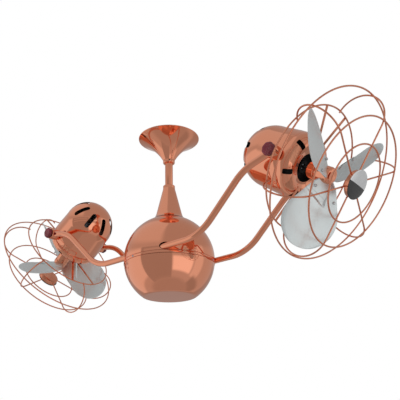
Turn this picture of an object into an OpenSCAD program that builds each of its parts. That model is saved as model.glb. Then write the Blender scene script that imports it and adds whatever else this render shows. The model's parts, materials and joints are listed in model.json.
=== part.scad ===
// Twin head ceiling fan: a turning ball carries two caged fan heads on curved forks.
// Origin: centre of the ceiling plate's top face. +Z is up. The heads lie along X.

/* [Ceiling mount] */
// Distance between the two ceiling screws
box_screw_pitch = 89; // [70:1:95]
// Radius of the canopy's rim
canopy_r = 90; // [80:1:110]
// Height of the canopy, from the ceiling to its neck
canopy_h = 71; // [60:1:90]
// Radius of the canopy's bell curve
canopy_curve_r = 157; // [150:1:165]
// Radius of the collar under the canopy
collar_r = 17.5; // [15:0.5:20]

/* [Drop] */
// Outer radius of the down rod
rod_r = 11.5; // [10:0.25:12]
// Depth of the ball's centre below the ceiling
ball_drop = 382; // [370:1:420]
// Height of the cone above the ball's centre
cone_top = 229; // [215:1:235]
// Radius of the cone at its top
cone_top_r = 17.5; // [16:0.5:19]
// Radius of the cone where it meets the ball
cone_foot_r = 49; // [46:0.5:52]

/* [Turning ball] */
// Radius of the ball
ball_r = 130; // [125:1:135]
// Height of the flat bottom below the ball's centre
ball_flat = 107; // [100:1:118]
// Top of the equator band, from the ball's centre
band_top = -7; // [-8:0.5:-6.5]
// Height of the equator band
band_h = 7; // [6.5:0.5:9]

/* [Forks] */
// Distance from the column to the tilt axis
pivot_x = 433; // [425:1:445]
// Height of the tilt axis above the ball's centre
pivot_h = 159; // [150:1:165]
// Sideways distance of each arm from the middle
arm_y = 100; // [98:0.5:102]
// Outer radius of an arm tube
arm_r = 8.5; // [7:0.25:9]
// Radius of both bends, along the middle of the tube
bend_r = 132; // [125:1:138]
// Slope of the straight middle stretch, in degrees
arm_slope = 43; // [41:1:45]
// Slope of the tube where it meets the tilt barrel, in degrees
end_slope = 13; // [10:1:16]

/* [Heads] */
// Angle of the heads above the horizontal, in degrees
head_tilt = -33; // [-60:1:0]
// Radius of the motor housing's rear dome
dome_r = 79; // [74:1:79]
// Distance from the tilt axis back to the dome's centre
dome_back = 72; // [68:1:76]
// Radius of the housing's drum
drum_r = 82; // [80:1:84]
// Number of long slots in the dome
dome_slots = 8; // [4:1:10]
// Number of short slots in the front cover
cover_slots = 6; // [3:1:8]

/* [Blades] */
// Radius that the blades sweep
blade_sweep = 183; // [165:1:184]
// Half of a blade's widest chord
blade_half = 70; // [56:1:71]
// Pitch of the blades, in degrees
blade_pitch = 35; // [20:1:36]
// Turning angle of the right head's blades, in degrees
right_spin = 32; // [0:1:120]
// Turning angle of the left head's blades, in degrees
left_spin = -29; // [-60:1:60]

/* [Cage] */
// Radius of the cage wire
wire_r = 2; // [1.5:0.1:2.5]
// Distance from the tilt axis to the widest ring
cage_mid = 115; // [113:1:117]
// Radius of the loop that each rib turns through
loop_r = 61.5; // [60:0.5:64]
// Distance from the head's axis to the centre of a rib's loop
loop_x = 140.5; // [139:0.5:144]
// Radius of the small front ring
small_ring_r = 91.5; // [80:0.5:110]
// Number of ribs
ribs = 6; // [4:1:8]
// Turning angle of the first rib, in degrees
rib_turn = 28; // [0:1:59]
// Radius of the badge
badge_r = 35; // [28:1:38]

/* [Hidden] */
$fn = 64;
COPPER = [0.80, 0.48, 0.36];
SILVER = [0.70, 0.74, 0.75];
STEEL = [0.55, 0.56, 0.58];
BURGUNDY = [0.34, 0.07, 0.12];
DARK = [0.12, 0.12, 0.13];
WINDING = [0.62, 0.30, 0.12];

// Column heights, measured from the ceiling
ball_z = -ball_drop;
cone_z = ball_z + cone_top;
rod_end = cone_z - 37;
collar_h = 10;
skin = 1.2;
ball_joint_z = -30;
ball_joint_r = 22;

// Ball: shells, plate and bearings
shell_t = 1.6;
plate_t = 5;
band_screw_r = 1.6;
band_screw_in = 6;
shaft_r = 10;
bearing_r = 21;
bearing_h = 12;
hub_r = 30;
hub_half = 62;
plate_top = band_top - 1;
seam = 0.2;
arm_hole_r = arm_r + 2;
arm_hole_lift = 1.5;
inner_z = 3;

// Forks
pivot_z = ball_z + pivot_h;
end_run = 52;
slope_rise = bend_r * (1 - cos(arm_slope));
slope_run = bend_r * sin(arm_slope);
top_rise = bend_r * (cos(end_slope) - cos(arm_slope));
top_run = bend_r * (sin(arm_slope) - sin(end_slope));
straight = (pivot_h - inner_z - slope_rise - top_rise - end_run * sin(end_slope)) / sin(arm_slope);
arm_start = pivot_x - slope_run - top_run - straight * cos(arm_slope) - end_run * cos(end_slope);
arm_wall = 1.5;
barrel_r = 17;
barrel_in = 83.5;
barrel_out = 110;
tube_stop = 12;
boss_r = 11;
lap = 0.5;
swell = 0.05;
trunnion_r = 7;
stud_r = 4;
run_gap = 0.05;
face_gap = 0.3;

// Heads, measured from the tilt axis towards the blades
cover_z = 12;
mouth_r = 35;
housing_t = 2.2;
rotor_r = 33.5;
core_back = -62;
core_front = -36;
coil_r = 9;
axle_r = 4;
race_r = 11;
race_h = 7;
race_back = -128;
race_front = 15;
axle_back = -129;
axle_front = 108;

// Blades
blade_z = 106;
blade_t = 1.6;
camber_r = 500;
blade_root = 24;
paddle_r = blade_half;
paddle_x = blade_sweep - paddle_r;
root_half = 30;
neck_turn = 128;
spider_t = 2.4;
screw_at = [[33, -21.5], [55, 38]];
screw_head_r = 3.6;
blades = 3;

// Cage
weld = 0.2;
ring_out = 2 * wire_r - weld;
rib_z = cage_mid + loop_r;
ring_angle = 79;
rib_end = 84;
cup_r = 33;
cup_back = rib_z - 5;
cup_front = rib_z + 10;
bar_w = 8;
bar_t = 1.6;
bar_foot = 8;
bar_head = 16;

// Points of a circular arc, from angle a to angle b in n steps
function arc(cx, cy, r, a, b, n) =
    [for (i = [0:n]) [cx + r * cos(a + (b - a) * i / n), cy + r * sin(a + (b - a) * i / n)]];

// A washer or tube
module tube(outer, inner, h) {
    difference() {
        cylinder(r = outer, h = h);
        translate([0, 0, -1]) cylinder(r = inner, h = h + 2);
    }
}

// A slot's outline, rounded at both ends
module stadium(len, w) {
    square([len - w, w], center = true);
    for (s = [-1, 1]) translate([s * (len - w) / 2, 0]) circle(d = w);
}

// A slot's outline, with rounded corners
module window(len, w, r) {
    square([len, w - 2 * r], center = true);
    square([len - 2 * r, w], center = true);
    for (x = [-1, 1]) for (y = [-1, 1]) translate([x * (len / 2 - r), y * (w / 2 - r)]) circle(r = r);
}

// ---- Ceiling mount and column ----

module hanger_bracket() color(STEEL) {
    leg_x = 29;
    seat_z = -40;
    seat_t = 3;
    seat_r = sqrt(pow(ball_joint_r, 2) - pow(ball_joint_z - seat_z - seat_t, 2));
    difference() {
        union() {
            translate([-60, -18, -3]) cube([120, 36, 3]);
            for (s = [-1, 1])
                translate([s * leg_x - 1.5, -14, seat_z]) cube([3, 28, -seat_z - 2]);
            translate([0, 0, seat_z]) tube(31, seat_r, seat_t);
        }
        for (s = [-1, 1])
            translate([s * box_screw_pitch / 2, 0, -4]) cylinder(r = 2.75, h = 5);
        translate([0, 0, -4]) cylinder(r = 12, h = 5);
    }
}

module hanger_ball() color(DARK) translate([0, 0, ball_joint_z]) difference() {
    sphere(r = ball_joint_r);
    translate([-30, -30, 10]) cube(60);
    translate([-30, -30, -76]) cube(60);
    translate([0, 0, -30]) cylinder(r = rod_r, h = 60);
    rotate([90, 0, 0]) cylinder(r = 3, h = 60, center = true);
}

// One pin holds the rod in the ball, the other in the shaft's socket
module cross_pins() color(STEEL) {
    translate([0, 0, ball_joint_z]) rotate([90, 0, 0]) cylinder(r = 3, h = 42, center = true);
    translate([0, 0, rod_end + 12]) rotate([90, 0, 0]) cylinder(r = 3, h = 31, center = true);
}

function bell(z, inset) =
    canopy_curve_r - 2 - sqrt(pow(canopy_curve_r, 2) - pow(z + canopy_curve_r - 11, 2)) - inset;

module canopy() color(COPPER) {
    steps = 14;
    lip = 3;
    lift = 2;
    outer = [for (i = [0:steps]) let(z = -canopy_h + (canopy_h - lip) * i / steps) [bell(z, 0), z]];
    inner = [for (i = [steps:-1:0]) let(z = -canopy_h + (canopy_h - lip) * i / steps)
        [bell(z, skin) - lift * i / steps, z]];
    rotate_extrude($fn = 96) polygon(concat(
        outer, [[canopy_r + 0.4, -lip], [canopy_r + 0.4, 0], [canopy_r - lift, 0]], inner));
}

module canopy_collar() color(COPPER) translate([0, 0, -canopy_h - collar_h + 0.4])
    difference() {
        rotate_extrude() polygon([[rod_r, 0], [collar_r - 1.5, 0], [collar_r, 1.5],
            [collar_r, collar_h - 1.5], [collar_r - 1.5, collar_h - 0.4], [rod_r, collar_h - 0.4]]);
        translate([0, 0, collar_h / 2]) rotate([0, 90, -42]) cylinder(r = 1.5, h = 30);
    }

module collar_screw() color(STEEL) translate([0, 0, -canopy_h - collar_h / 2 + 0.4])
    rotate([0, 90, -42]) translate([0, 0, rod_r]) cylinder(r = 1.5, h = collar_r - rod_r + 0.4);

module downrod() color(COPPER) difference() {
    translate([0, 0, rod_end]) cylinder(r = rod_r, h = -rod_end - 16);
    translate([0, 0, rod_end - 1]) cylinder(r = rod_r - 2, h = -rod_end);
    translate([0, 0, ball_joint_z]) rotate([90, 0, 0]) cylinder(r = 3, h = 60, center = true);
    translate([0, 0, rod_end + 12]) rotate([90, 0, 0]) cylinder(r = 3, h = 60, center = true);
}

// The cone hides the joint between the rod and the shaft
module coupling_cover() color(COPPER) {
    rim = 9;
    wall = 1.5;
    flare_low = [7, 7];
    flare_high = [11, 16];
    foot_z = ball_z + sqrt(pow(ball_r, 2) - pow(cone_foot_r - 1.6, 2)) + 0.5;
    rotate_extrude($fn = 96) polygon([
        [rod_r + 0.05, cone_z], [cone_top_r - 1, cone_z], [cone_top_r, cone_z - 1],
        [cone_top_r, cone_z - rim], [cone_foot_r - flare_high.x, foot_z + flare_high.y],
        [cone_foot_r - flare_low.x, foot_z + flare_low.y], [cone_foot_r, foot_z],
        [cone_foot_r - wall, foot_z], [cone_foot_r - flare_low.x - wall, foot_z + flare_low.y],
        [cone_foot_r - flare_high.x - wall, foot_z + flare_high.y], [cone_top_r - wall, cone_z - rim],
        [cone_top_r - wall, cone_z - 4], [rod_r + 0.05, cone_z - 4]]);
}

module main_shaft() color(STEEL) {
    socket_h = cone_z - 4 - rod_end + 6;
    foot = ball_z - hub_half - 16;
    difference() {
        union() {
            translate([0, 0, foot]) cylinder(r = shaft_r, h = rod_end - foot);
            translate([0, 0, rod_end - 6]) cylinder(r = 15.5, h = socket_h);
        }
        translate([0, 0, rod_end]) cylinder(r = rod_r, h = socket_h);
        translate([0, 0, foot - 1]) cylinder(r = 6, h = rod_end - foot + 2);
        translate([0, 0, rod_end + 12]) rotate([90, 0, 0]) cylinder(r = 3, h = 60, center = true);
    }
}

module slip_ring() color(WINDING) translate([0, 0, ball_z + hub_half + 8]) difference() {
    rotate_extrude() polygon([[shaft_r, 0], [17, 0], [17, 5], [15, 5], [15, 7], [17, 7], [17, 12],
        [15, 12], [15, 14], [17, 14], [17, 19], [15, 19], [15, 21], [shaft_r, 21]]);
}

module shaft_nut() color(STEEL) translate([0, 0, ball_z - hub_half - 12]) difference() {
    cylinder(r = 17, h = 10, $fn = 6);
    translate([0, 0, -1]) cylinder(r = shaft_r, h = 12);
}

// ---- Turning ball ----

// A slice of the hollow ball between two heights above its centre
module ball_slice(low, high) {
    outer_low = asin(low / ball_r);
    outer_high = asin(high / ball_r);
    inner = ball_r - shell_t;
    translate([0, 0, ball_z]) rotate_extrude($fn = 128) polygon(concat(
        arc(0, 0, ball_r, outer_low, outer_high, 24),
        arc(0, 0, inner, asin(min(high, inner) / inner), asin(low / inner), 24)));
}

module arm_holes() {
    for (s = [-1, 1]) translate([-ball_r, s * arm_y, ball_z + inner_z + arm_hole_lift])
        rotate([0, 90, 0]) cylinder(r = arm_hole_r, h = 2 * ball_r);
}

module upper_shell() color(COPPER) difference() {
    ball_slice(band_top + seam, 127);
    arm_holes();
}

module equator_band() color(COPPER) translate([0, 0, ball_z + band_top - band_h]) difference() {
    tube(ball_r + 0.2, ball_r - 2.4, band_h);
    translate([0, 0, band_h / 2]) band_turns() cylinder(r = band_screw_r, h = 20);
}

module lower_shell() color(COPPER) {
    inner = ball_r - shell_t;
    top = band_top - band_h - seam;
    corner = 5;
    side = asin(-(ball_flat - corner) / ball_r);
    edge_x = ball_r * cos(side);
    flat_x = edge_x - 2 * corner;
    bend_x = edge_x - 0.86 * corner;
    bend_z = -ball_flat + 0.32 * corner;
    translate([0, 0, ball_z]) rotate_extrude($fn = 128) polygon(concat(
        arc(0, 0, ball_r, asin(top / ball_r), side, 24),
        [[bend_x, bend_z], [flat_x, -ball_flat], [0, -ball_flat], [0, -ball_flat + shell_t],
         [flat_x - 0.6, -ball_flat + shell_t], [bend_x - 1.4, bend_z + 1.2]],
        arc(0, 0, inner, side, asin(top / inner), 24)));
}

// Three places round the band, starting inside the ball's plate
module band_turns() for (a = [24:120:264])
    rotate([0, 90, a]) translate([0, 0, ball_r - band_screw_in]) children();

module band_screws() color(STEEL) translate([0, 0, ball_z + band_top - band_h / 2]) band_turns() {
    cylinder(r = band_screw_r, h = band_screw_in + 0.3);
    translate([0, 0, band_screw_in + 0.2]) cylinder(r = 3, h = 1.2);
}

// Plate, bearing tube and flange that carry the shells and the arms
module chassis() color(STEEL) translate([0, 0, ball_z]) difference() {
    union() {
        translate([0, 0, plate_top - plate_t]) cylinder(r = ball_r - 2.4, h = plate_t, $fn = 96);
        translate([0, 0, -hub_half]) cylinder(r = hub_r, h = 2 * hub_half);
        translate([0, 0, hub_half - 4]) cylinder(r = 42, h = 4);
    }
    translate([0, 0, -hub_half - 1]) cylinder(r = bearing_r - 3, h = 2 * hub_half + 2);
    for (s = [-1, 1]) translate([0, 0, s * (hub_half - bearing_h / 2 + 0.5)])
        cylinder(r = bearing_r, h = bearing_h + 1, center = true);
    translate([0, 0, band_top - band_h / 2]) band_turns() cylinder(r = band_screw_r, h = 20);
}

module turret_bearings() color(SILVER) translate([0, 0, ball_z])
    for (s = [-1, 1]) translate([0, 0, s * (hub_half - bearing_h / 2) - bearing_h / 2])
        tube(bearing_r, shaft_r + run_gap, bearing_h);

module brush_holder() color(DARK) translate([0, 0, ball_z + hub_half]) difference() {
    translate([17.4, -11, 0]) cube([22, 22, 32]);
    translate([28, 0, 16]) cube([26, 12, 20], center = true);
}

module run_capacitors() color(SILVER) translate([0, 0, ball_z + plate_top])
    for (s = [-1, 1]) translate([s * 75, 0, 0]) cylinder(r = 15, h = 48);

module arm_clamps() color(STEEL) for (s = [-1, 1]) translate([0, s * arm_y, ball_z]) difference() {
    translate([-24, s > 0 ? -13 : -10.5, plate_top]) cube([48, 23.5, inner_z + 12 - plate_top]);
    translate([-40, 0, inner_z]) rotate([0, 90, 0]) cylinder(r = arm_r, h = 80);
}

// ---- Fork arms ----

module arm_section(grow = 0) difference() {
    circle(r = arm_r + grow);
    circle(r = arm_r - arm_wall - grow);
}

// A bend of the tube in the XZ plane, about a centre, lapped over the straights at its ends
module arm_bend(cx, cz, from, turn)
    translate([cx, 0, cz]) rotate([90, 0, 0]) rotate([0, 0, from - lap])
        rotate_extrude(angle = turn + 2 * lap, $fn = 96) translate([bend_r, 0]) arm_section(swell);

// A straight stretch of the tube in the XZ plane
module arm_run(x, z, slope, len)
    translate([x, 0, z]) rotate([0, 90 - slope, 0]) linear_extrude(len) arm_section();

// One curved tube with its tilt barrel, drawn for the right side
module arm(side_x, side_y) color(COPPER) {
    low_x = arm_start + slope_run;
    low_z = inner_z + slope_rise;
    high_x = low_x + straight * cos(arm_slope);
    high_z = low_z + straight * sin(arm_slope);
    end_x = high_x + top_run;
    end_z = high_z + top_rise;
    keep = end_run - tube_stop;
    mirror([side_x < 0 ? 1 : 0, 0, 0]) translate([0, side_y * arm_y, ball_z]) difference() {
        union() {
            arm_run(2, inner_z, 0, arm_start - 2);
            arm_bend(arm_start, inner_z + bend_r, -90, arm_slope);
            arm_run(low_x, low_z, arm_slope, straight);
            arm_bend(high_x + bend_r * sin(arm_slope), high_z - bend_r * cos(arm_slope),
                90 + end_slope, arm_slope - end_slope);
            arm_run(end_x, end_z, end_slope, keep);
            translate([pivot_x, side_y * (barrel_in - arm_y), pivot_h]) rotate([-side_y * 90, 0, 0])
                cylinder(r = barrel_r, h = barrel_out - barrel_in);
        }
        translate([pivot_x, 0, pivot_h]) rotate([90, 0, 0])
            cylinder(r = trunnion_r + run_gap, h = 60, center = true);
    }
}

// ---- Heads: drawn along +Z, with X sideways and Y up, then set on the fork ----

module on_fork(side) translate([side * pivot_x, 0, pivot_z])
    rotate([0, 0, side > 0 ? 0 : 180]) rotate([0, 90 - head_tilt, 0]) rotate([0, 0, 90]) children();

module rear_housing() color(COPPER) {
    join = 12;
    step = 24;
    inner_r = dome_r - housing_t;
    drum_in = drum_r - housing_t;
    boss_in = drum_r - 4;
    slot_w = 11;
    slot_from = 32.4;
    slot_to = 70.3;
    slot_mid = (slot_from + slot_to) / 2;
    slot_len = 2 * dome_r * sin((slot_to - slot_from) / 2);
    difference() {
        union() {
            rotate_extrude($fn = 128) polygon(concat(
                arc(0, -dome_back, dome_r, -90, 4, 24),
                [[drum_r, -join], [drum_r, cover_z - 0.8], [drum_r - 0.8, cover_z],
                 [drum_in, cover_z], [drum_in, -step], [inner_r, -step]],
                arc(0, -dome_back, inner_r, 0, -90, 24)));
            translate([0, 0, -dome_back - inner_r - 1]) cylinder(r = 15, h = race_back + race_h
                + dome_back + inner_r + 1);
            for (s = [-1, 1]) rotate([0, s * 90, 0]) {
                translate([0, 0, boss_in]) cylinder(r = boss_r, h = barrel_in - face_gap - boss_in);
                translate([0, 0, boss_in]) cylinder(r = trunnion_r, h = barrel_out - 0.5 - boss_in);
            }
        }
        translate([0, 0, race_back]) cylinder(r = race_r, h = 40);
        translate([0, 0, race_back - 6]) cylinder(r = axle_r + 2, h = 12);
        for (i = [0:dome_slots - 1]) rotate([0, 0, i * 360 / dome_slots])
            translate([0, 0, -dome_back]) rotate([0, 180 - slot_mid, 0])
                translate([0, 0, 60]) linear_extrude(30) stadium(slot_len, slot_w);
        for (s = [-1, 1]) rotate([0, s * 90, 0])
            translate([0, 0, barrel_in + 1]) cylinder(r = stud_r, h = 60);
    }
}

module front_cover() color(COPPER) {
    floor_z = cover_z + 3;
    drum_in = drum_r - housing_t;
    window_turn = 25;
    window_lean = 45;
    window_at = [71, 38.4];
    difference() {
        rotate_extrude($fn = 128) polygon([
            [drum_r - 0.8, cover_z], [drum_r, cover_z + 0.8], [drum_r, 19], [81, 25], [77.8, 31.6],
            [72.5, 37.6], [65.5, 42], [58, 44], [52, 43.4], [45, 40.9], [mouth_r + 2, 38],
            [mouth_r, 37.4], [mouth_r, 35.6], [45.6, 38.9], [52.4, 41.4], [57.6, 41.9], [64.4, 40.1],
            [70.8, 36.1], [75.8, 30.5], [78.8, 24.4], [drum_in, 19], [drum_in, floor_z], [15, floor_z],
            [15, race_front + race_h + 4], [race_r - 3, race_front + race_h + 4],
            [race_r - 3, race_front + race_h], [race_r, race_front + race_h], [race_r, cover_z]]);
        for (i = [0:cover_slots - 1]) rotate([0, 0, window_turn + i * 360 / cover_slots])
            translate([window_at.x, 0, window_at.y]) rotate([0, window_lean, 0])
                linear_extrude(24, center = true) window(25, 13, 3.5);
    }
}

// Laminated core with a ring of windings at each end
module stator() color(WINDING) difference() {
    union() {
        translate([0, 0, core_back])
            cylinder(r = dome_r - housing_t, h = core_front - core_back, $fn = 128);
        for (z = [core_back - 2, core_front + 2]) translate([0, 0, z])
            rotate_extrude() translate([50, 0]) circle(r = coil_r, $fn = 24);
    }
    translate([0, 0, core_back - 10]) cylinder(r = rotor_r + 0.6, h = 70);
}

module motor_bearings() color(SILVER) for (z = [race_back, race_front]) translate([0, 0, z])
    tube(race_r, axle_r + run_gap, race_h);

module rotor() color(STEEL) {
    translate([0, 0, core_back - 2]) cylinder(r = rotor_r, h = core_front - core_back + 4);
    translate([0, 0, axle_back]) cylinder(r = axle_r, h = axle_front - axle_back);
}

// A cambered sheet between two radii, pitched as a blade is
module camber(back, front) translate([0, 0, blade_z]) rotate([blade_pitch, 0, 0])
    translate([0, 0, -camber_r]) rotate([0, 90, 0]) difference() {
        cylinder(r = camber_r + front, h = 200, $fn = 128);
        translate([0, 0, -1]) cylinder(r = camber_r + back, h = 202, $fn = 128);
    }

// Cuts a flat outline through the pitched sheet
module outline_cut() translate([0, 0, blade_z]) rotate([blade_pitch, 0, 0])
    translate([0, 0, -30]) linear_extrude(60) children();

module blade() color(SILVER) difference() {
    intersection() {
        camber(0, blade_t);
        outline_cut() polygon(concat([[blade_root, root_half], [blade_root, -root_half]],
            arc(paddle_x, 0, paddle_r, -neck_turn, neck_turn, 36)));
    }
    outline_cut() for (at = screw_at) translate(at) circle(r = 2.05, $fn = 24);
}

module blade_hub() color(COPPER) {
    hub_back = 47;
    hub_front = 117;
    barrel = 21;
    difference() {
        union() {
            rotate_extrude() polygon([[0, hub_back], [barrel - 3, hub_back], [barrel, hub_back + 4],
                [barrel, hub_front - 8], [barrel - 2.4, hub_front - 2.4], [barrel - 8, hub_front],
                [0, hub_front]]);
            for (i = [0:blades - 1]) rotate([0, 0, i * 360 / blades]) intersection() {
                camber(-spider_t, 0);
                outline_cut() polygon([[10, -16], [blade_root, -root_half], [42, -root_half], [66, 40],
                    [56, 45], [blade_root, root_half], [10, 16]]);
            }
        }
        translate([0, 0, hub_back - 1]) cylinder(r = axle_r, h = axle_front - hub_back + 1);
        for (i = [0:blades - 1]) rotate([0, 0, i * 360 / blades]) outline_cut()
            for (at = screw_at) translate(at) circle(r = 2.05, $fn = 24);
    }
}

// Height of a screw's head over the blade's pitched plane, just clear of the cambered sheet
function seat(at) = blade_t + 0.1 - pow(abs(at.y) - screw_head_r, 2) / (2 * camber_r);

module blade_screws() color(SILVER) for (i = [0:blades - 1]) rotate([0, 0, i * 360 / blades])
    translate([0, 0, blade_z]) rotate([blade_pitch, 0, 0]) for (at = screw_at) translate(at) {
        translate([0, 0, -5]) cylinder(r = 2, h = seat(at) + 5.5);
        translate([0, 0, seat(at)]) cylinder(r = screw_head_r, h = 2.2);
    }

module ring(r, z) translate([0, 0, z]) rotate_extrude($fn = 128) translate([r, 0])
    circle(r = wire_r, $fn = 24);

// A ring welded round the outside of the ribs' loop, at an angle round the loop
module loop_ring(a)
    ring(loop_x + (loop_r + ring_out) * cos(a), cage_mid + (loop_r + ring_out) * sin(a));

module front_rings() color(COPPER) {
    ring(small_ring_r, rib_z + ring_out);
    loop_ring(ring_angle);
}

module rear_rings() color(COPPER) {
    loop_ring(0);
    loop_ring(-ring_angle);
}

module cage_ribs() color(COPPER) for (i = [0:ribs - 1]) rotate([0, 0, rib_turn + i * 360 / ribs]) {
    translate([cup_r - 4, 0, rib_z]) rotate([0, 90, 0])
        cylinder(r = wire_r, h = loop_x - cup_r + 4, $fn = 24);
    translate([loop_x, 0, cage_mid]) rotate([-90, 0, 0]) rotate([0, 0, -90])
        rotate_extrude(angle = rib_end + 90, $fn = 96) translate([loop_r, 0])
            circle(r = wire_r, $fn = 24);
}

// Flat strips in two Vs, from the cover to the rear ring
module cage_supports() color(COPPER) {
    foot_r = 55;
    foot_z = 44;
    head_r = loop_x + (loop_r + ring_out) * cos(ring_angle);
    head_z = cage_mid - (loop_r + ring_out) * sin(ring_angle) - wire_r - bar_t / 2 + weld;
    for (up = [90, 270]) for (s = [-1, 1]) {
        a = [foot_r * cos(up + s * bar_foot), foot_r * sin(up + s * bar_foot), foot_z];
        b = [head_r * cos(up + s * bar_head), head_r * sin(up + s * bar_head), head_z];
        run = [b[0] - a[0], b[1] - a[1], b[2] - a[2]];
        flat = norm([run[0], run[1]]);
        translate(a) rotate([0, 0, atan2(run[1], run[0])]) rotate([0, -atan2(run[2], flat), 0])
            translate([-6, -bar_w / 2, -bar_t / 2]) cube([norm(run) + 8, bar_w, bar_t]);
    }
}

module badge_cup() color(COPPER) rotate_extrude() polygon([
    [0, cup_back], [cup_r - 8, cup_back], [cup_r - 2, cup_back + 2], [cup_r, cup_back + 5],
    [cup_r, cup_front], [cup_r - 1.5, cup_front], [cup_r - 1.5, cup_back + 5],
    [cup_r - 3, cup_back + 3], [0, cup_back + 1.6]]);

module badge() color(SILVER) translate([0, 0, cup_front]) rotate_extrude($fn = 96)
    polygon([[0, 0], [badge_r, 0], [badge_r, 1], [badge_r - 1, 1.9], [badge_r * 0.6, 3], [0, 3.6]]);

// Burgundy clamp knob with its threaded stud, drawn outwards along +Z
module knob(side_y) color(BURGUNDY) rotate([0, side_y * 90, 0]) {
    grip = 17;
    back = barrel_out + face_gap;
    len = 12;
    stud_len = 24;
    translate([0, 0, back]) rotate_extrude() polygon([
        [0, 0], [grip - 3, 0], [grip - 1, 1.6], [grip, 4], [grip, len - 5], [grip - 1, len - 2.2],
        [grip - 3.4, len - 0.4], [grip - 6, len], [0, len]]);
    translate([0, 0, back - stud_len]) cylinder(r = stud_r - run_gap, h = stud_len + 1);
}

hanger_bracket();
hanger_ball();
cross_pins();
canopy();
canopy_collar();
collar_screw();
downrod();
coupling_cover();
main_shaft();
slip_ring();
shaft_nut();
upper_shell();
equator_band();
lower_shell();
band_screws();
chassis();
turret_bearings();
brush_holder();
run_capacitors();
arm_clamps();
arm(1, -1);  // right_arm_front
arm(1, 1);  // right_arm_back
arm(-1, -1);  // left_arm_front
arm(-1, 1);  // left_arm_back

module blade_of(side, spin, i)
    on_fork(side) rotate([0, 0, spin + i * 360 / blades]) blade();

on_fork(1) rear_housing();  // right_rear_housing
on_fork(1) front_cover();  // right_front_cover
on_fork(1) stator();  // right_stator
on_fork(1) motor_bearings();  // right_motor_bearings
on_fork(1) rotor();  // right_rotor
on_fork(1) rotate([0, 0, right_spin]) blade_hub();  // right_blade_hub
blade_of(1, right_spin, 0);  // right_blade_1
blade_of(1, right_spin, 1);  // right_blade_2
blade_of(1, right_spin, 2);  // right_blade_3
on_fork(1) rotate([0, 0, right_spin]) blade_screws();  // right_blade_screws
on_fork(1) front_rings();  // right_front_rings
on_fork(1) rear_rings();  // right_rear_rings
on_fork(1) cage_ribs();  // right_cage_ribs
on_fork(1) cage_supports();  // right_cage_supports
on_fork(1) badge_cup();  // right_badge_cup
on_fork(1) badge();  // right_badge
on_fork(1) knob(-1);  // right_knob_front
on_fork(1) knob(1);  // right_knob_back

on_fork(-1) rear_housing();  // left_rear_housing
on_fork(-1) front_cover();  // left_front_cover
on_fork(-1) stator();  // left_stator
on_fork(-1) motor_bearings();  // left_motor_bearings
on_fork(-1) rotor();  // left_rotor
on_fork(-1) rotate([0, 0, left_spin]) blade_hub();  // left_blade_hub
blade_of(-1, left_spin, 0);  // left_blade_1
blade_of(-1, left_spin, 1);  // left_blade_2
blade_of(-1, left_spin, 2);  // left_blade_3
on_fork(-1) rotate([0, 0, left_spin]) blade_screws();  // left_blade_screws
on_fork(-1) front_rings();  // left_front_rings
on_fork(-1) rear_rings();  // left_rear_rings
on_fork(-1) cage_ribs();  // left_cage_ribs
on_fork(-1) cage_supports();  // left_cage_supports
on_fork(-1) badge_cup();  // left_badge_cup
on_fork(-1) badge();  // left_badge
on_fork(-1) knob(1);  // left_knob_front
on_fork(-1) knob(-1);  // left_knob_back
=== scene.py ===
"""Twin head ceiling fan in polished copper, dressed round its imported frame.

Every shape is built in millimetres and placed in metres. The column and the ball
stand on the frame's Z axis. Each head is built along its own Z axis, with X
sideways and Y up, and then set on its fork by the frame's own joints.
"""

import json
import logging
import math
from collections.abc import Callable
from dataclasses import dataclass, field
from enum import Enum

import bmesh
import bpy
import numpy as np
from mathutils import Matrix, Vector
from mathutils.bvhtree import BVHTree


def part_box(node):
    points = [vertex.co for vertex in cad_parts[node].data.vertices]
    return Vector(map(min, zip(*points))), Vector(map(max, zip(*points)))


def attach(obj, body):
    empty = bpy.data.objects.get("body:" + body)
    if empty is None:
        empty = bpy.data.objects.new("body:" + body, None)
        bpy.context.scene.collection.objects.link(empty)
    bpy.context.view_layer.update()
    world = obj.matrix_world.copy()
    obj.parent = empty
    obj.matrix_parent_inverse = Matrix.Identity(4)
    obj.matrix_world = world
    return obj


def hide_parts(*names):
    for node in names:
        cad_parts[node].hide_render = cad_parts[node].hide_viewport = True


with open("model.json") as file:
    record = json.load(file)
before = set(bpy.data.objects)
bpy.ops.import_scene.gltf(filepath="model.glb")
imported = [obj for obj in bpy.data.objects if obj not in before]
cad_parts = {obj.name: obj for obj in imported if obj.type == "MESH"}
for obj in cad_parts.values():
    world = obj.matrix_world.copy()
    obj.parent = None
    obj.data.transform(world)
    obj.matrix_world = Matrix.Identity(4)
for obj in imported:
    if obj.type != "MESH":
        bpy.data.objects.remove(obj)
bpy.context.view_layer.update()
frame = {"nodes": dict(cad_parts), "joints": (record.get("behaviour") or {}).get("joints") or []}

MM = 0.001
LOG = logging.getLogger("fan")

# Chords round the ball and the housings, round middling pieces, and round small ones.
FINE, ROUND, SMALL = 192, 96, 24
# A radius under this is a pole, in mm, and points nearer than this are one, in m.
POLE, MERGE = 1e-6, 1e-7
# The part of a noise pattern that a finish runs over, and the colour sockets of a Mix node.
NOISE_LOW, NOISE_HIGH = 0.3, 0.7
MIX_ONE, MIX_TWO, MIX_COLOUR = 6, 7, 2
# The ball's middle and radius, and how far the arms stand off the fan's middle plane, in mm.
BALL_Z, BALL_R, ARM_Y = -382.0, 130.0, 100.0

Point = tuple[float, float]
Triple = tuple[float, float, float]
Edges = Callable[[float], Point]
Piece = bpy.types.Object
Material = bpy.types.Material
Socket = bpy.types.NodeSocket


class Side(Enum):
    """The two heads, by the sign of their place along X."""

    RIGHT = 1
    LEFT = -1

    @property
    def word(self) -> str:
        """The side's name as the frame's nodes spell it."""
        return self.name.lower()


# ---------------------------------------------------------------- shapes


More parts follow.
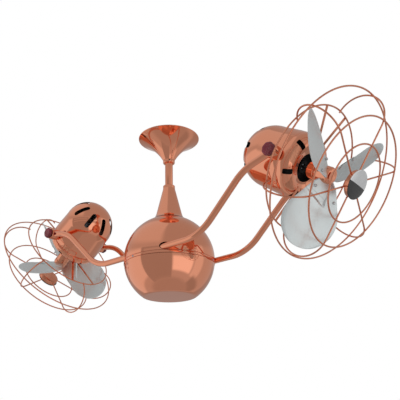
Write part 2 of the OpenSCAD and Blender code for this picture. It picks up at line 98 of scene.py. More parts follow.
def arc(cx: float, cy: float, radius: float, start: float, end: float, steps: int) -> list[Point]:
    """Points along a circular arc.

    Args:
        cx: First coordinate of the centre.
        cy: Second coordinate of the centre.
        radius: The arc's radius.
        start: First angle in degrees.
        end: Last angle in degrees.
        steps: Number of chords.

    Returns:
        The points, both ends included.
    """
    angles = [math.radians(start + (end - start) * i / steps) for i in range(steps + 1)]
    return [(cx + radius * math.cos(a), cy + radius * math.sin(a)) for a in angles]


def rounded(corners: list[Point], radius: float, closed: bool = True, steps: int = 4) -> list[Point]:
    """Rounds the corners of an outline.

    Args:
        corners: The outline's corners in order.
        radius: How far each round reaches along its two edges.
        closed: True where the last corner joins the first.
        steps: Chords in each round.

    Returns:
        The rounded outline.
    """
    most = 0.45
    count = len(corners)
    made: list[Point] = []
    for i, corner in enumerate(corners):
        if not closed and i in (0, count - 1):
            made.append(corner)
            continue
        here = np.array(corner, float)
        before = np.array(corners[i - 1], float) - here
        after = np.array(corners[(i + 1) % count], float) - here
        reach = min(radius, most * np.linalg.norm(before), most * np.linalg.norm(after))
        a = here + before / np.linalg.norm(before) * reach
        b = here + after / np.linalg.norm(after) * reach
        for k in range(steps + 1):
            t = k / steps
            made.append(tuple((1 - t) ** 2 * a + 2 * t * (1 - t) * here + t * t * b))
    return made


@dataclass
class Shape:
    """A mesh in the making: points in millimetres, faces and their finish numbers."""

    points: np.ndarray
    faces: list[tuple[int, ...]]
    finish: list[int] = field(default_factory=list)

    def __post_init__(self) -> None:
        """Gives every face the first finish unless told otherwise."""
        if not self.finish:
            self.finish = [0] * len(self.faces)

    def __add__(self, other: "Shape") -> "Shape":
        """Both shapes as one.

        Args:
            other: The shape to add.

        Returns:
            The two together, with this one's faces first.
        """
        first = len(self.points)
        moved = [tuple(i + first for i in f) for f in other.faces]
        points = np.vstack([self.points, other.points])
        return Shape(points, self.faces + moved, self.finish + other.finish)

    def moved(self, place: Matrix) -> "Shape":
        """The shape under a 4x4 matrix in millimetres."""
        m = np.array(place)
        return Shape(self.points @ m[:3, :3].T + m[:3, 3], list(self.faces), list(self.finish))

    def painted(self, number: int) -> "Shape":
        """The same shape with every face in one finish."""
        return Shape(self.points, self.faces, [number] * len(self.faces))


def turn(axis: str, degrees: float) -> Matrix:
    """A turn about X, Y or Z."""
    return Matrix.Rotation(math.radians(degrees), 4, axis)


def shift(x: float = 0.0, y: float = 0.0, z: float = 0.0) -> Matrix:
    """A straight move."""
    return Matrix.Translation((x, y, z))


def lathe(profile: list[Point], steps: int = 128, closed: bool = True) -> Shape:
    """Turns a profile of (radius, height) about Z.

    Args:
        profile: The profile's points; a radius of zero is a pole.
        steps: Number of turns of the profile.
        closed: True where the last point joins the first.

    Returns:
        The turned shape.
    """
    rings: list[list[int]] = []
    points: list[Triple] = []
    around = [2 * math.pi * k / steps for k in range(steps)]
    for r, z in profile:
        first = len(points)
        if r < POLE:
            points.append((0.0, 0.0, z))
            rings.append([first] * steps)
        else:
            points += [(r * math.cos(a), r * math.sin(a), z) for a in around]
            rings.append(list(range(first, first + steps)))
    faces = []
    last = len(rings) if closed else len(rings) - 1
    for i in range(last):
        low, high = rings[i], rings[(i + 1) % len(rings)]
        for k in range(steps):
            n = (k + 1) % steps
            corner = [low[k], low[n], high[n], high[k]]
            faces.append(tuple(dict.fromkeys(corner)))
    faces = [f for f in faces if len(f) > 2]
    return Shape(np.array(points), faces)


def sweep(path: np.ndarray, outline: list[Point], closed: bool = False) -> Shape:
    """Carries a flat outline along a path, without twist.

    Args:
        path: Points of the path.
        outline: The cross section, across and up from the path.
        closed: True for a path that returns to its start.

    Returns:
        The swept shape, capped unless closed.
    """
    count = len(path)
    ahead = np.roll(path, -1, 0) - np.roll(path, 1, 0)
    if not closed:
        ahead[0], ahead[-1] = path[1] - path[0], path[-1] - path[-2]
    ahead /= np.linalg.norm(ahead, axis=1)[:, None]
    side = np.cross(ahead[0], [0.0, 0.0, 1.0])
    upright = 1e-3
    if np.linalg.norm(side) < upright:
        side = np.cross(ahead[0], [0.0, 1.0, 0.0])
    points = []
    for i in range(count):
        side = side - ahead[i] * (side @ ahead[i])
        side /= np.linalg.norm(side)
        up = np.cross(side, ahead[i])
        points += [path[i] + side * u + up * v for u, v in outline]
    size = len(outline)
    faces = []
    for i in range(count if closed else count - 1):
        for k in range(size):
            a, b = i * size, (i + 1) % count * size
            n = (k + 1) % size
            faces.append((a + k, a + n, b + n, b + k))
    if not closed:
        faces += [tuple(range(size))[::-1], tuple((count - 1) * size + k for k in range(size))]
    return Shape(np.array(points), faces)


def disc(radius: float, sides: int = 16) -> list[Point]:
    """A round cross section."""
    return arc(0, 0, radius, 0, 360 - 360 / sides, sides - 1)


def ring(radius: float, wire: float, height: float) -> Shape:
    """A wire ring about Z."""
    return lathe([(radius + u, height + v) for u, v in disc(wire)], 160)


def oblong(x: float, y: float, soft: float) -> list[Point]:
    """A rounded rectangle about the origin, by its half sizes."""
    return rounded([(-x, -y), (x, -y), (x, y), (-x, y)], soft)


def block(size: Triple, soft: float) -> Shape:
    """A box about the origin with its upright edges rounded and its rims chamfered.

    Args:
        size: Its full size along X, Y and Z.
        soft: How far the rounds and the chamfers reach.

    Returns:
        The box.
    """
    x, y, z = (s / 2 for s in size)
    flat, inner = oblong(x, y, soft), oblong(x - soft, y - soft, soft)
    return layers([(inner, -z), (flat, -z + soft), (flat, z - soft), (inner, z)])


def layers(levels: list[tuple[list[Point], float]]) -> Shape:
    """Joins flat outlines at rising heights, capped at both ends.

    Args:
        levels: Outlines with equally many points, each with its height.

    Returns:
        The closed shape.
    """
    size = len(levels[0][0])
    points = [(x, y, z) for outline, z in levels for x, y in outline]
    faces: list[tuple[int, ...]] = [tuple(range(size))[::-1]]
    for i in range(len(levels) - 1):
        for k in range(size):
            n = (k + 1) % size
            faces.append((i * size + k, i * size + n, (i + 1) * size + n, (i + 1) * size + k))
    faces.append(tuple((len(levels) - 1) * size + k for k in range(size)))
    return Shape(np.array(points), faces)


def stadium(length: float, width: float, steps: int = 8) -> list[Point]:
    """A slot's outline, rounded at both ends, with its length along X."""
    half, r = (length - width) / 2, width / 2
    return arc(half, 0, r, -90, 90, steps) + arc(-half, 0, r, 90, 270, steps)


# ---------------------------------------------------------------- pieces


def mesh_from(name: str, shape: Shape, finishes: list[Material]) -> Piece:
    """Makes a Blender object from a shape, in metres, with its faces turned outwards.

    Args:
        name: The piece's name.
        shape: The shape in millimetres.
        finishes: Materials, in the order of the shape's finish numbers.

    Returns:
        The object, linked to the scene.
    """
    mesh = bpy.data.meshes.new(name)
    mesh.from_pydata((shape.points * MM).tolist(), [], shape.faces)
    for m in finishes:
        mesh.materials.append(m)
    mesh.polygons.foreach_set("material_index", shape.finish)
    work = bmesh.new()
    work.from_mesh(mesh)
    bmesh.ops.remove_doubles(work, verts=work.verts, dist=MERGE)
    bmesh.ops.recalc_face_normals(work, faces=work.faces)
    work.to_mesh(mesh)
    work.free()
    obj = bpy.data.objects.new(name, mesh)
    bpy.context.scene.collection.objects.link(obj)
    return obj


def soften(obj: Piece, angle: float = 32.0) -> None:
    """Shades a piece smoothly.

    Args:
        obj: The piece.
        angle: Edges that turn by more than this stay sharp, in degrees.
    """
    mesh = obj.data
    mesh.polygons.foreach_set("use_smooth", [True] * len(mesh.polygons))
    mesh.set_sharp_from_angle(angle=math.radians(angle))


def cut(obj: Piece, tools: list[Shape]) -> None:
    """Cuts holes in a turned piece and keeps the shading of its uncut surface.

    Args:
        obj: The piece, already made.
        tools: Closed shapes to take away.
    """
    same_way, agrees, nearest = 0.85, 0.9, 1e-6
    work = bmesh.new()
    work.from_mesh(obj.data)
    tree = BVHTree.FromBMesh(work)
    work.verts.ensure_lookup_table()
    work.faces.ensure_lookup_table()
    smooth = [v.normal.copy() for v in work.verts]
    corners = [[v.index for v in f.verts] for f in work.faces]
    places = [v.co.copy() for v in work.verts]
    facing = [f.normal.copy() for f in work.faces]
    work.free()
    whole = tools[0]
    for t in tools[1:]:
        whole = whole + t
    knife = mesh_from("knife", whole, [])
    change = obj.modifiers.new("cut", "BOOLEAN")
    change.object, change.operation, change.solver = knife, "DIFFERENCE", "EXACT"
    graph = bpy.context.evaluated_depsgraph_get()
    made = bpy.data.meshes.new_from_object(obj.evaluated_get(graph))
    obj.modifiers.clear()
    obj.data = made
    bpy.data.objects.remove(knife)
    normals = []
    for poly in made.polygons:
        for v in poly.vertices:
            co = made.vertices[v].co
            _, _, face, _ = tree.find_nearest(co)
            best = facing[face]
            if poly.normal.dot(best) > same_way:
                near = [(1.0 / ((places[i] - co).length + nearest), smooth[i]) for i in corners[face]]
                best = sum((n * w for w, n in near), Vector()).normalized()
                if best.dot(facing[face]) < agrees:
                    best = facing[face]
            else:
                best = poly.normal.copy()
            normals.append(best)
    made.polygons.foreach_set("use_smooth", [True] * len(made.polygons))
    made.normals_split_custom_set(normals)


@dataclass
class Repeater:
    """A node tree that repeats an element evenly about its own Z axis."""

    name: str = "repeat_about_axis"

    def tree(self, finish: Material) -> bpy.types.GeometryNodeTree:
        """Builds the tree.

        Args:
            finish: The material that the copies get.

        Returns:
            The node tree, with inputs for the number, the first turn and the step.
        """
        tree = bpy.data.node_groups.new(self.name, "GeometryNodeTree")
        sockets = (("Element", "INPUT", "Geometry"), ("Number", "INPUT", "Int"),
                   ("First turn", "INPUT", "Float"), ("Step", "INPUT", "Float"),
                   ("Pieces", "OUTPUT", "Geometry"))
        for name, way, kind in sockets:
            tree.interface.new_socket(name, in_out=way, socket_type=f"NodeSocket{kind}")
        kinds = {
            "start": "NodeGroupInput", "whole": "GeometryNodeGeometryToInstance",
            "copy": "GeometryNodeDuplicateElements", "scale": "ShaderNodeMath",
            "add": "ShaderNodeMath", "turn": "ShaderNodeCombineXYZ",
            "rotate": "GeometryNodeRotateInstances", "real": "GeometryNodeRealizeInstances",
            "paint": "GeometryNodeSetMaterial", "end": "NodeGroupOutput",
        }
        node = {k: tree.nodes.new(v) for k, v in kinds.items()}
        node["copy"].domain = "INSTANCE"
        node["scale"].operation = "MULTIPLY"
        node["rotate"].inputs["Local Space"].default_value = False
        node["paint"].inputs["Material"].default_value = finish
        wires = (
            ("start", "Element", "whole", 0), ("whole", 0, "copy", "Geometry"),
            ("start", "Number", "copy", "Amount"), ("copy", "Duplicate Index", "scale", 0),
            ("start", "Step", "scale", 1), ("scale", 0, "add", 0), ("start", "First turn", "add", 1),
            ("add", 0, "turn", "Z"), ("copy", "Geometry", "rotate", "Instances"),
            ("turn", 0, "rotate", "Rotation"), ("rotate", 0, "real", 0),
            ("real", 0, "paint", "Geometry"), ("paint", 0, "end", 0),
        )
        for source, out, target, into in wires:
            tree.links.new(node[source].outputs[out], node[target].inputs[into])
        return tree

    def repeat(self, obj: Piece, number: int, first: float, step: float) -> None:
        """Repeats a piece about Z and leaves the result as its plain mesh.

        Args:
            obj: The piece, whose first material every copy gets.
            number: How many copies.
            first: The first copy's turn in degrees.
            step: The turn between copies in degrees.
        """
        change = obj.modifiers.new("repeat", "NODES")
        change.node_group = self.tree(obj.data.materials[0])
        values = {"Number": number, "First turn": math.radians(first), "Step": math.radians(step)}
        for item in change.node_group.interface.items_tree:
            if item.in_out == "INPUT" and item.name in values:
                change[item.identifier] = values[item.name]
        obj.update_tag()
        graph = bpy.context.evaluated_depsgraph_get()
        made = bpy.data.meshes.new_from_object(obj.evaluated_get(graph))
        obj.modifiers.clear()
        obj.data = made


def place(obj: Piece, matrix: Matrix) -> None:
    """Moves a piece's own mesh, and leaves its object at the origin.

    Args:
        obj: The piece.
        matrix: The move, in millimetres.
    """
    scale = Matrix.Scale(MM, 4)
    obj.data.transform(scale @ matrix @ scale.inverted())
    obj.data.update()


def keep(obj: Piece, body: str, slot: str, *nodes: str) -> Piece:
    """Hands a finished piece to its body.

    Args:
        obj: The finished piece.
        body: The frame's body that carries it.
        slot: The record's material slot; not used.
        nodes: The CAD nodes that it stands for.

    Returns:
        The same piece.
    """
    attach(obj, body)
    if nodes:
        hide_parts(*nodes)
    LOG.info("%s rides on %s, %d faces", obj.name, body, len(obj.data.polygons))
    return obj


def make(name: str, shape: Shape, finishes: list[Material], body: str, slot: str, *nodes: str,
         sharp: float = 32.0) -> Piece:
    """Makes, shades and hands over a piece that needs nothing in between.

    Args:
        name: The piece's name.
        shape: The shape in millimetres.
        finishes: Materials, in the order of the shape's finish numbers.
        body: The frame's body that carries it.
        slot: The record's material slot.
        nodes: The CAD nodes that it stands for.
        sharp: Edges that turn by more than this stay sharp, in degrees.

    Returns:
        The piece.
    """
    obj = mesh_from(name, shape, finishes)
    soften(obj, sharp)
    return keep(obj, body, slot, *nodes)


# ---------------------------------------------------------------- finishes


class Nodes:
    """A small helper that grows a material's node tree."""

    def __init__(self, name: str) -> None:
        """Starts a material with a principled shader and Object coordinates.

        Args:
            name: The material's name.
        """
        self.material = bpy.data.materials.new(name)
        self.material.use_nodes = True
        self.tree = self.material.node_tree
        self.shader = self.tree.nodes["Principled BSDF"]
        self.place = self.add("TexCoord").outputs["Object"]

    def add(self, kind: str, **values: float | Triple) -> bpy.types.Node:
        """Adds a node.

        Args:
            kind: The node's type, without its usual first words.
            values: Values of its inputs, by socket name with underscores for spaces.

        Returns:
            The node.
        """
        node = self.tree.nodes.new(f"ShaderNode{kind}")
        for name, value in values.items():
            node.inputs[name.replace("_", " ")].default_value = value
        return node

    def noise(self, scale: float, detail: float = 2.0, stretch: Triple = (1, 1, 1)) -> Socket:
        """A noise pattern.

        Args:
            scale: Waves to the metre.
            detail: How many finer layers it has.
            stretch: How much finer it is along each axis.

        Returns:
            The pattern's value socket.
        """
        source = self.place
        if stretch != (1, 1, 1):
            mapping = self.add("Mapping", Scale=stretch)
            self.tree.links.new(source, mapping.inputs["Vector"])
            source = mapping.outputs["Vector"]
        node = self.add("TexNoise", Scale=scale, Detail=detail)
        self.tree.links.new(source, node.inputs["Vector"])
        return node.outputs["Fac"]

    def spread(self, value: Socket, low: float, high: float) -> Socket:
        """Maps the middle of a 0 to 1 pattern on to a range.

        Args:
            value: The pattern.
            low: The range's low end.
            high: The range's high end.

        Returns:
            The mapped value.
        """
        node = self.add("MapRange", From_Min=NOISE_LOW, From_Max=NOISE_HIGH, To_Min=low, To_Max=high)
        self.tree.links.new(value, node.inputs["Value"])
        return node.outputs["Result"]

    def blend(self, value: Socket, one: Triple, two: Triple) -> Socket:
        """Runs between two colours with a pattern.

        Args:
            value: The pattern.
            one: The colour where it is low.
            two: The colour where it is high.

        Returns:
            The colour socket.
        """
        node = self.add("Mix")
        node.data_type = "RGBA"
        node.inputs[MIX_ONE].default_value = (*one, 1)
        node.inputs[MIX_TWO].default_value = (*two, 1)
        self.tree.links.new(self.spread(value, 0.0, 1.0), node.inputs[0])
        return node.outputs[MIX_COLOUR]

    def bump(self, value: Socket, strength: float, depth: float = 0.0002) -> None:
        """Raises the surface a little by a pattern.

        Args:
            value: The pattern.
            strength: How strongly it shows.
            depth: How deep it is, in metres.
        """
        node = self.add("Bump", Strength=strength, Distance=depth)
        self.tree.links.new(value, node.inputs["Height"])
        self.tree.links.new(node.outputs["Normal"], self.shader.inputs["Normal"])

    def join(self, value: Socket, name: str) -> None:
        """Feeds a pattern to one of the shader's sockets."""
        self.tree.links.new(value, self.shader.inputs[name])

    def set(self, **values: float) -> None:
        """Sets plain values on the shader, by socket name with underscores for spaces."""
        for name, value in values.items():
            self.shader.inputs[name.replace("_", " ")].default_value = value


@dataclass(frozen=True)
class Surface:
    """What every finish has: a mottled colour, a hazed gloss and a fine grain.

    The mottle, the haze and the grain are each given as waves to the metre and finer layers.
    """

    name: str
    colour: Triple
    shade: Triple
    rough: Point
    metallic: float = 0.0
    coat: float = 0.0
    coat_rough: float = 0.03
    mottle: Point = (40.0, 3.0)
    haze: Point = (120.0, 3.0)
    grain: Point = (900.0, 2.0)
    stretch: Triple = (1, 1, 1)
    depth: float = 0.08

    def build(self) -> Material:
        """Builds the material.

        Returns:
            The material.
        """
        n = Nodes(self.name)
        n.set(Metallic=self.metallic, Coat_Weight=self.coat, Coat_Roughness=self.coat_rough)
        n.join(n.blend(n.noise(*self.mottle), self.colour, self.shade), "Base Color")
        n.join(n.spread(n.noise(*self.haze), *self.rough), "Roughness")
        n.bump(n.noise(*self.grain, self.stretch), self.depth)
        return n.material


@dataclass(frozen=True)
class PolishedCopper(Surface):
    """Copper plate, buffed bright, with a faint haze and polishing marks."""

    name: str = "polished_copper"
    colour: Triple = (0.955, 0.390, 0.240)
    shade: Triple = (0.930, 0.370, 0.220)
    rough: Point = (0.045, 0.085)
    metallic: float = 1.0
    mottle: Point = (9.0, 3.0)
    haze: Point = (45.0, 4.0)
    grain: Point = (1400.0, 2.0)
    stretch: Triple = (1, 1, 0.2)
    depth: float = 0.02


@dataclass(frozen=True)
class CopperWire(Surface):
    """Plated wire, a little softer than the polished housings."""

    name: str = "copper_wire"
    colour: Triple = (0.86, 0.350, 0.215)
    shade: Triple = (0.72, 0.270, 0.160)
    rough: Point = (0.14, 0.24)
    metallic: float = 1.0
    mottle: Point = (30.0, 3.0)
    haze: Point = (160.0, 3.0)
    grain: Point = (2200.0, 2.0)
    depth: float = 0.05


@dataclass(frozen=True)
class BladeMetal(Surface):
    """Satin aluminium with fine polishing lines."""

    name: str = "blade_aluminium"
    colour: Triple = (0.74, 0.79, 0.79)
    shade: Triple = (0.68, 0.73, 0.73)
    rough: Point = (0.28, 0.32)
    metallic: float = 0.85
    mottle: Point = (6.0, 1.0)
    haze: Point = (20.0, 1.0)
    grain: Point = (300.0, 1.0)
    stretch: Triple = (1, 0.1, 1)
    depth: float = 0.004


@dataclass(frozen=True)
class Coating(Surface):
    """A painted, moulded, plated or varnished surface."""

    coat_rough: float = 0.08


class Finishes:
    """Every finish on the fan, built once."""

    def __init__(self) -> None:
        """Builds the materials."""
        self.copper = PolishedCopper().build()
        self.wire = CopperWire().build()
        self.blade = BladeMetal().build()
        self.burgundy = Coating("burgundy_knob", (0.150, 0.008, 0.020), (0.09, 0.004, 0.010),
                                (0.25, 0.35), coat=0.15, depth=0.02).build()
        # Black for the set screw and the hidden black parts; on the housings' insides and slot walls it is
        # painted shade.
        self.black = Coating("black_inside", (0.006, 0.005, 0.005), (0.003, 0.003, 0.003),
                             (0.6, 0.8)).build()
        self.enamel = Coating("badge_black", (0.01, 0.01, 0.011), (0.006, 0.006, 0.007),
                              (0.15, 0.25), coat=0.5).build()
        self.bright = Coating("badge_silver", (0.86, 0.87, 0.88), (0.8, 0.81, 0.82),
                              (0.12, 0.2), metallic=1.0, depth=0.02).build()
        self.zinc = Coating("zinc_plate", (0.52, 0.53, 0.55), (0.42, 0.43, 0.45),
                            (0.3, 0.45), metallic=1.0, grain=(500.0, 2.0)).build()
        self.ground = Coating("ground_steel", (0.66, 0.67, 0.68), (0.58, 0.59, 0.6),
                              (0.16, 0.26), metallic=1.0, grain=(1500.0, 2.0)).build()
        self.brass = Coating("slip_ring_brass", (0.74, 0.55, 0.22), (0.62, 0.44, 0.16),
                             (0.2, 0.32), metallic=1.0).build()
        self.can = Coating("capacitor_can", (0.7, 0.71, 0.72), (0.6, 0.61, 0.62),
                           (0.3, 0.42), metallic=1.0).build()
        self.core = Coating("varnished_core", (0.16, 0.06, 0.03), (0.1, 0.04, 0.02),
                            (0.3, 0.5), coat=0.3, grain=(300.0, 2.0), depth=0.3).build()


# ---------------------------------------------------------------- column and ball


@dataclass
class Column:
    """Canopy, down rod and coupling cover."""

    finishes: Finishes
    canopy_r: float = 90.4
    canopy_h: float = 71.0
    bell_r: float = 157.0
    bell_in: float = 2.0
    bell_up: float = 11.0
    skin: float = 1.2
    rod_r: float = 11.5
    collar_r: float = 17.5
    collar_h: float = 9.6
    ball_z: float = BALL_Z
    cone_top: float = 229.0
    cone_neck: float = 9.0
    foot_r: float = 49.0
    ball_r: float = BALL_R
    screw_turn: float = -42.0

    body: str = "ceiling_mount"

    def bell(self, z: float) -> float:
        """Radius of the canopy's bell at a height."""
        return self.bell_r - self.bell_in - math.sqrt(self.bell_r**2 - (z + self.bell_r - self.bell_up) ** 2)

    def canopy(self) -> None:
        """The bell with its rolled rim."""
        lip, steps, roll, thicker, drop = 3.0, 28, 1.5, 1.6, 0.4
        heights = [-self.canopy_h + (self.canopy_h - lip) * i / steps for i in range(steps + 1)]
        outer = [(self.bell(z), z) for z in heights]
        rim = arc(self.canopy_r - roll, -roll, roll, -60, 80, 8)
        inner = [(self.bell(z) - self.skin - thicker * (z / self.canopy_h + 1), z + drop)
                 for z in heights[::-1]]
        bell = lathe(outer + rim + [(self.canopy_r - lip, 0)] + inner)
        make("canopy_bell", bell, [self.finishes.copper], self.body, "copper", "canopy")

    def collar(self) -> None:
        """The collar that holds the canopy up, with its set screw."""
        gap, hole_r, hole_deep = 0.05, 2.1, 4.0
        low = -self.canopy_h - self.collar_h
        ring_shape = lathe(rounded([(self.rod_r + gap, low), (self.collar_r - 1.2, low),
                                    (self.collar_r, low + 2.4), (self.collar_r, -self.canopy_h - 0.3),
                                    (self.rod_r + gap, -self.canopy_h - gap)], 0.5), ROUND)
        obj = mesh_from("canopy_collar_ring", ring_shape, [self.finishes.copper])
        at = (shift(z=low + self.collar_h / 2) @ turn("Z", self.screw_turn) @ turn("Y", 90)
              @ shift(z=self.collar_r - hole_deep))
        cut(obj, [lathe([(0, 0), (hole_r, 0), (hole_r, 12), (0, 12)], 32, False).moved(at)])
        keep(obj, self.body, "copper", "canopy_collar")
        screw = lathe(rounded([(0.9, 1.2), (1.0, 3.6), (1.9, 3.9), (1.9, 0.0), (0.0, 0.0), (0.0, 1.2)],
                              0.15, False), SMALL, False)
        make("collar_set_screw", screw.moved(at), [self.finishes.black], self.body, "steel", "collar_screw")

    def rod(self) -> None:
        """The down rod, between the hanger ball and the shaft."""
        low, high = (v.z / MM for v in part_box("downrod"))
        bore_r = self.rod_r - 2
        tube = lathe(rounded([(self.rod_r, low), (self.rod_r, high), (bore_r, high), (bore_r, low)], 0.4),
                     ROUND)
        make("down_rod", tube, [self.finishes.copper], self.body, "copper", "downrod")

    def cone(self) -> None:
        """The cone over the coupling, from its short neck to its flared foot."""
        wall, lap, clear, gap, chamfer, crown = 1.5, 1.6, 0.5, 0.1, 0.8, 4.0
        top = self.ball_z + self.cone_top
        foot = self.ball_z + math.sqrt(self.ball_r**2 - (self.foot_r - lap) ** 2) + clear
        neck = top - self.cone_neck
        flare = [(self.foot_r - 11, foot + 16), (self.foot_r - 7, foot + 7), (self.foot_r, foot)]
        top_edge = [(self.rod_r + gap, top), (self.collar_r - chamfer, top), (self.collar_r, top - chamfer)]
        outer = rounded([(self.collar_r, neck), *flare], 6.0, False)
        inner = [(r - wall, z) for r, z in flare[::-1]]
        inner += [(self.collar_r - wall, neck), (self.collar_r - wall, top - crown),
                  (self.rod_r + gap, top - crown)]
        make("coupling_cone", lathe(top_edge + outer + inner), [self.finishes.copper],
             self.body, "copper", "coupling_cover", sharp=12)

    def build(self) -> None:
        """Builds the column's pieces."""
        self.canopy()
        self.collar()
        self.rod()
        self.cone()


@dataclass
class Ball:
    """The turning ball: two shells, the band between them and its screws."""

    finishes: Finishes
    radius: float = BALL_R
    wall: float = 1.6
    centre: float = BALL_Z
    flat: float = 107.0
    band_top: float = -7.0
    band_h: float = 7.0
    mouth: float = 127.0
    seam: float = 0.2
    arm_y: float = ARM_Y
    hole_r: float = 10.5
    hole_z: float = 4.5
    band_out: float = 0.2
    band_in: float = 2.4
    band_screws: int = 3
    first_screw: float = 24.0

    body: str = "turret"

    def upper(self) -> None:
        """The upper shell, with a round hole for each arm."""
        low = math.degrees(math.asin((self.band_top + self.seam) / self.radius))
        high = math.degrees(math.asin(self.mouth / self.radius))
        inner = self.radius - self.wall
        profile = arc(0, 0, self.radius, low + 0.3, high, 56) + arc(0, 0, inner, high - 1, low, 56)
        shell = lathe(profile, FINE).moved(shift(z=self.centre))
        obj = mesh_from("ball_upper_shell", shell, [self.finishes.copper])
        reach = self.radius
        tube = lathe([(0, -reach), (self.hole_r, -reach), (self.hole_r, reach), (0, reach)], 48, False)
        cut(obj, [tube.moved(shift(0, s * self.arm_y, self.centre + self.hole_z) @ turn("Y", 90))
                  for s in (-1, 1)])
        keep(obj, self.body, "copper", "upper_shell")

    def band(self) -> None:
        """The flat band round the ball's middle."""
        low, high = self.band_top - self.band_h, self.band_top
        back, face = self.radius - self.band_in, self.radius + self.band_out
        profile = rounded([(back, low), (face, low), (face, high), (back, high)], 0.5)
        make("ball_band", lathe(profile, FINE).moved(shift(z=self.centre)), [self.finishes.copper],
             self.body, "copper", "equator_band", sharp=50)

    def screws(self) -> None:
        """Small round heads round the band."""
        head = lathe(rounded([(0.7, 0.7), (0.9, 1.3), (2.4, 0.9), (3.0, 0.0), (3.0, -0.4), (0, -0.4),
                              (0, 0.7)], 0.3, False), 32, False)
        at = shift(self.radius + self.band_out, 0, self.centre + self.band_top - self.band_h / 2)
        obj = mesh_from("band_screw_heads", head.moved(turn("Y", 90)).moved(at), [self.finishes.zinc])
        Repeater().repeat(obj, self.band_screws, self.first_screw, 360 / self.band_screws)
        soften(obj)
        keep(obj, self.body, "steel", "band_screws")

    def lower(self) -> None:
        """The lower shell with its rounded edge and flat bottom."""
        corner, bottom = 5.0, -self.flat
        inner = self.radius - self.wall
        top = math.degrees(math.asin((self.band_top - self.band_h - self.seam) / self.radius))
        side = math.degrees(math.asin((corner - self.flat) / self.radius))
        edge = self.radius * math.cos(math.radians(side))
        bend = rounded([(edge + 3.0, corner - self.flat + 2.4), (edge, corner - self.flat),
                        (edge - 0.86 * corner, 0.32 * corner - self.flat), (edge - 2 * corner, bottom),
                        (edge - 22, bottom)], 6, False, 6)
        outer = arc(0, 0, self.radius, top - 0.3, side + 1.6, 56) + bend[1:]
        back = [(max(x - 1.4, 0.0), z + self.wall) for x, z in bend[::-1]]
        profile = (outer + [(0, bottom), (0, self.wall - self.flat)] + back
                   + arc(0, 0, inner, side + 2, top, 40))
        make("ball_lower_shell", lathe(profile, FINE).moved(shift(z=self.centre)), [self.finishes.copper],
             self.body, "copper", "lower_shell", sharp=40)

    def build(self) -> None:
        """Builds the ball's pieces."""
        self.upper()
        self.band()
        self.screws()
        self.lower()


@dataclass
class Arm:
    """One bent tube of a fork, with the barrel that the head tilts in."""

    finishes: Finishes
    side: Side
    front: bool
    tube_r: float = 8.5
    bend_r: float = 132.0
    slope: float = 43.0
    end_slope: float = 13.0
    end_run: float = 52.0
    tube_stop: float = 12.0
    start_x: float = 2.0
    inner_z: float = 3.0
    ball_z: float = BALL_Z
    pivot_x: float = 433.0
    pivot_h: float = 159.0
    arm_y: float = ARM_Y
    barrel_r: float = 17.0
    barrel_in: float = 83.5
    barrel_out: float = 110.0
    weld_r: float = 1.4
    bore: float = 7.05

    def path(self) -> np.ndarray:
        """The tube's middle line in the XZ plane.

        Returns:
            Its points, from the ball to the barrel.
        """
        a, b, r = math.radians(self.slope), math.radians(self.end_slope), self.bend_r
        rise = r * (1 - math.cos(a)) + r * (math.cos(b) - math.cos(a)) + self.end_run * math.sin(b)
        straight = (self.pivot_h - self.inner_z - rise) / math.sin(a)
        run = r * math.sin(a) + r * (math.sin(a) - math.sin(b))
        start = self.pivot_x - run - straight * math.cos(a) - self.end_run * math.cos(b)
        low = arc(start, self.inner_z + r, r, -90, self.slope - 90, 24)
        x, z = low[-1][0] + straight * math.cos(a), low[-1][1] + straight * math.sin(a)
        high = arc(x + r * math.sin(a), z - r * math.cos(a), r, 90 + self.slope, 90 + self.end_slope, 18)
        last = self.end_run - self.tube_stop
        end = (high[-1][0] + last * math.cos(b), high[-1][1] + last * math.sin(b))
        steps = 8
        runs = [(self.start_x + (start - self.start_x) * i / steps, self.inner_z) for i in range(steps)]
        points = runs + low + high + [end]
        return np.array([(px, 0.0, pz) for px, pz in points])

    def weld(self) -> Shape:
        """The weld bead along the seam where the tube meets the barrel.

        Returns:
            The bead, about the barrel's middle.
        """
        steps, b = 48, math.radians(self.end_slope)
        back, up = np.array([-math.cos(b), 0.0, -math.sin(b)]), np.array([-math.sin(b), 0.0, math.cos(b)])
        seam = []
        for k in range(steps):
            a = 2 * math.pi * k / steps
            rise = self.tube_r * math.sin(a)
            away = math.sqrt(self.barrel_r**2 - rise**2)
            seam.append(back * away + up * rise + np.array([0.0, self.tube_r * math.cos(a), 0.0]))
        return sweep(np.array(seam), disc(self.weld_r, 10), True)

    def build(self) -> None:
        """Builds the tube, its weld and its barrel as one piece."""
        y, end = (-1, "front") if self.front else (1, "back")
        tube = sweep(self.path(), disc(self.tube_r, 32))
        half = (self.barrel_out - self.barrel_in) / 2
        barrel = lathe(rounded([(self.bore, -half), (self.barrel_r, -half), (self.barrel_r, half),
                                (self.bore, half)], 1.2), 64)
        middle = (self.barrel_in + self.barrel_out) / 2 - self.arm_y
        at = shift(self.pivot_x, y * middle, self.pivot_h)
        bead_at = shift(self.pivot_x, 0, self.pivot_h)
        shape = tube + barrel.moved(at @ turn("X", 90)) + self.weld().moved(bead_at)
        shape = shape.moved(shift(0, y * self.arm_y, self.ball_z))
        if self.side is Side.LEFT:
            shape = shape.moved(Matrix.Scale(-1, 4, (1, 0, 0)))
        name = f"{self.side.word}_arm_{end}"
        make(f"{name}_tube", shape, [self.finishes.copper], "turret", "copper", name, sharp=40)


# ---------------------------------------------------------------- heads


def bead(radius: float) -> Shape:
    """A small weld bead."""
    return lathe(arc(0, 0, radius, -90, 90, 8), 12, False)


def lined(profile: list[Point], bright: int, closed: bool) -> Shape:
    """Turns a housing that is copper outside, with black painted shade on its inside faces.

    Args:
        profile: The profile, outside first.
        bright: How many of its edges are copper; the rest are black painted shade.
        closed: True where the last point joins the first.

    Returns:
        The housing.
    """
    shell = lathe(profile, FINE, closed)
    shell.finish = [int(i >= bright * FINE) for i in range(len(shell.faces))]
    return shell


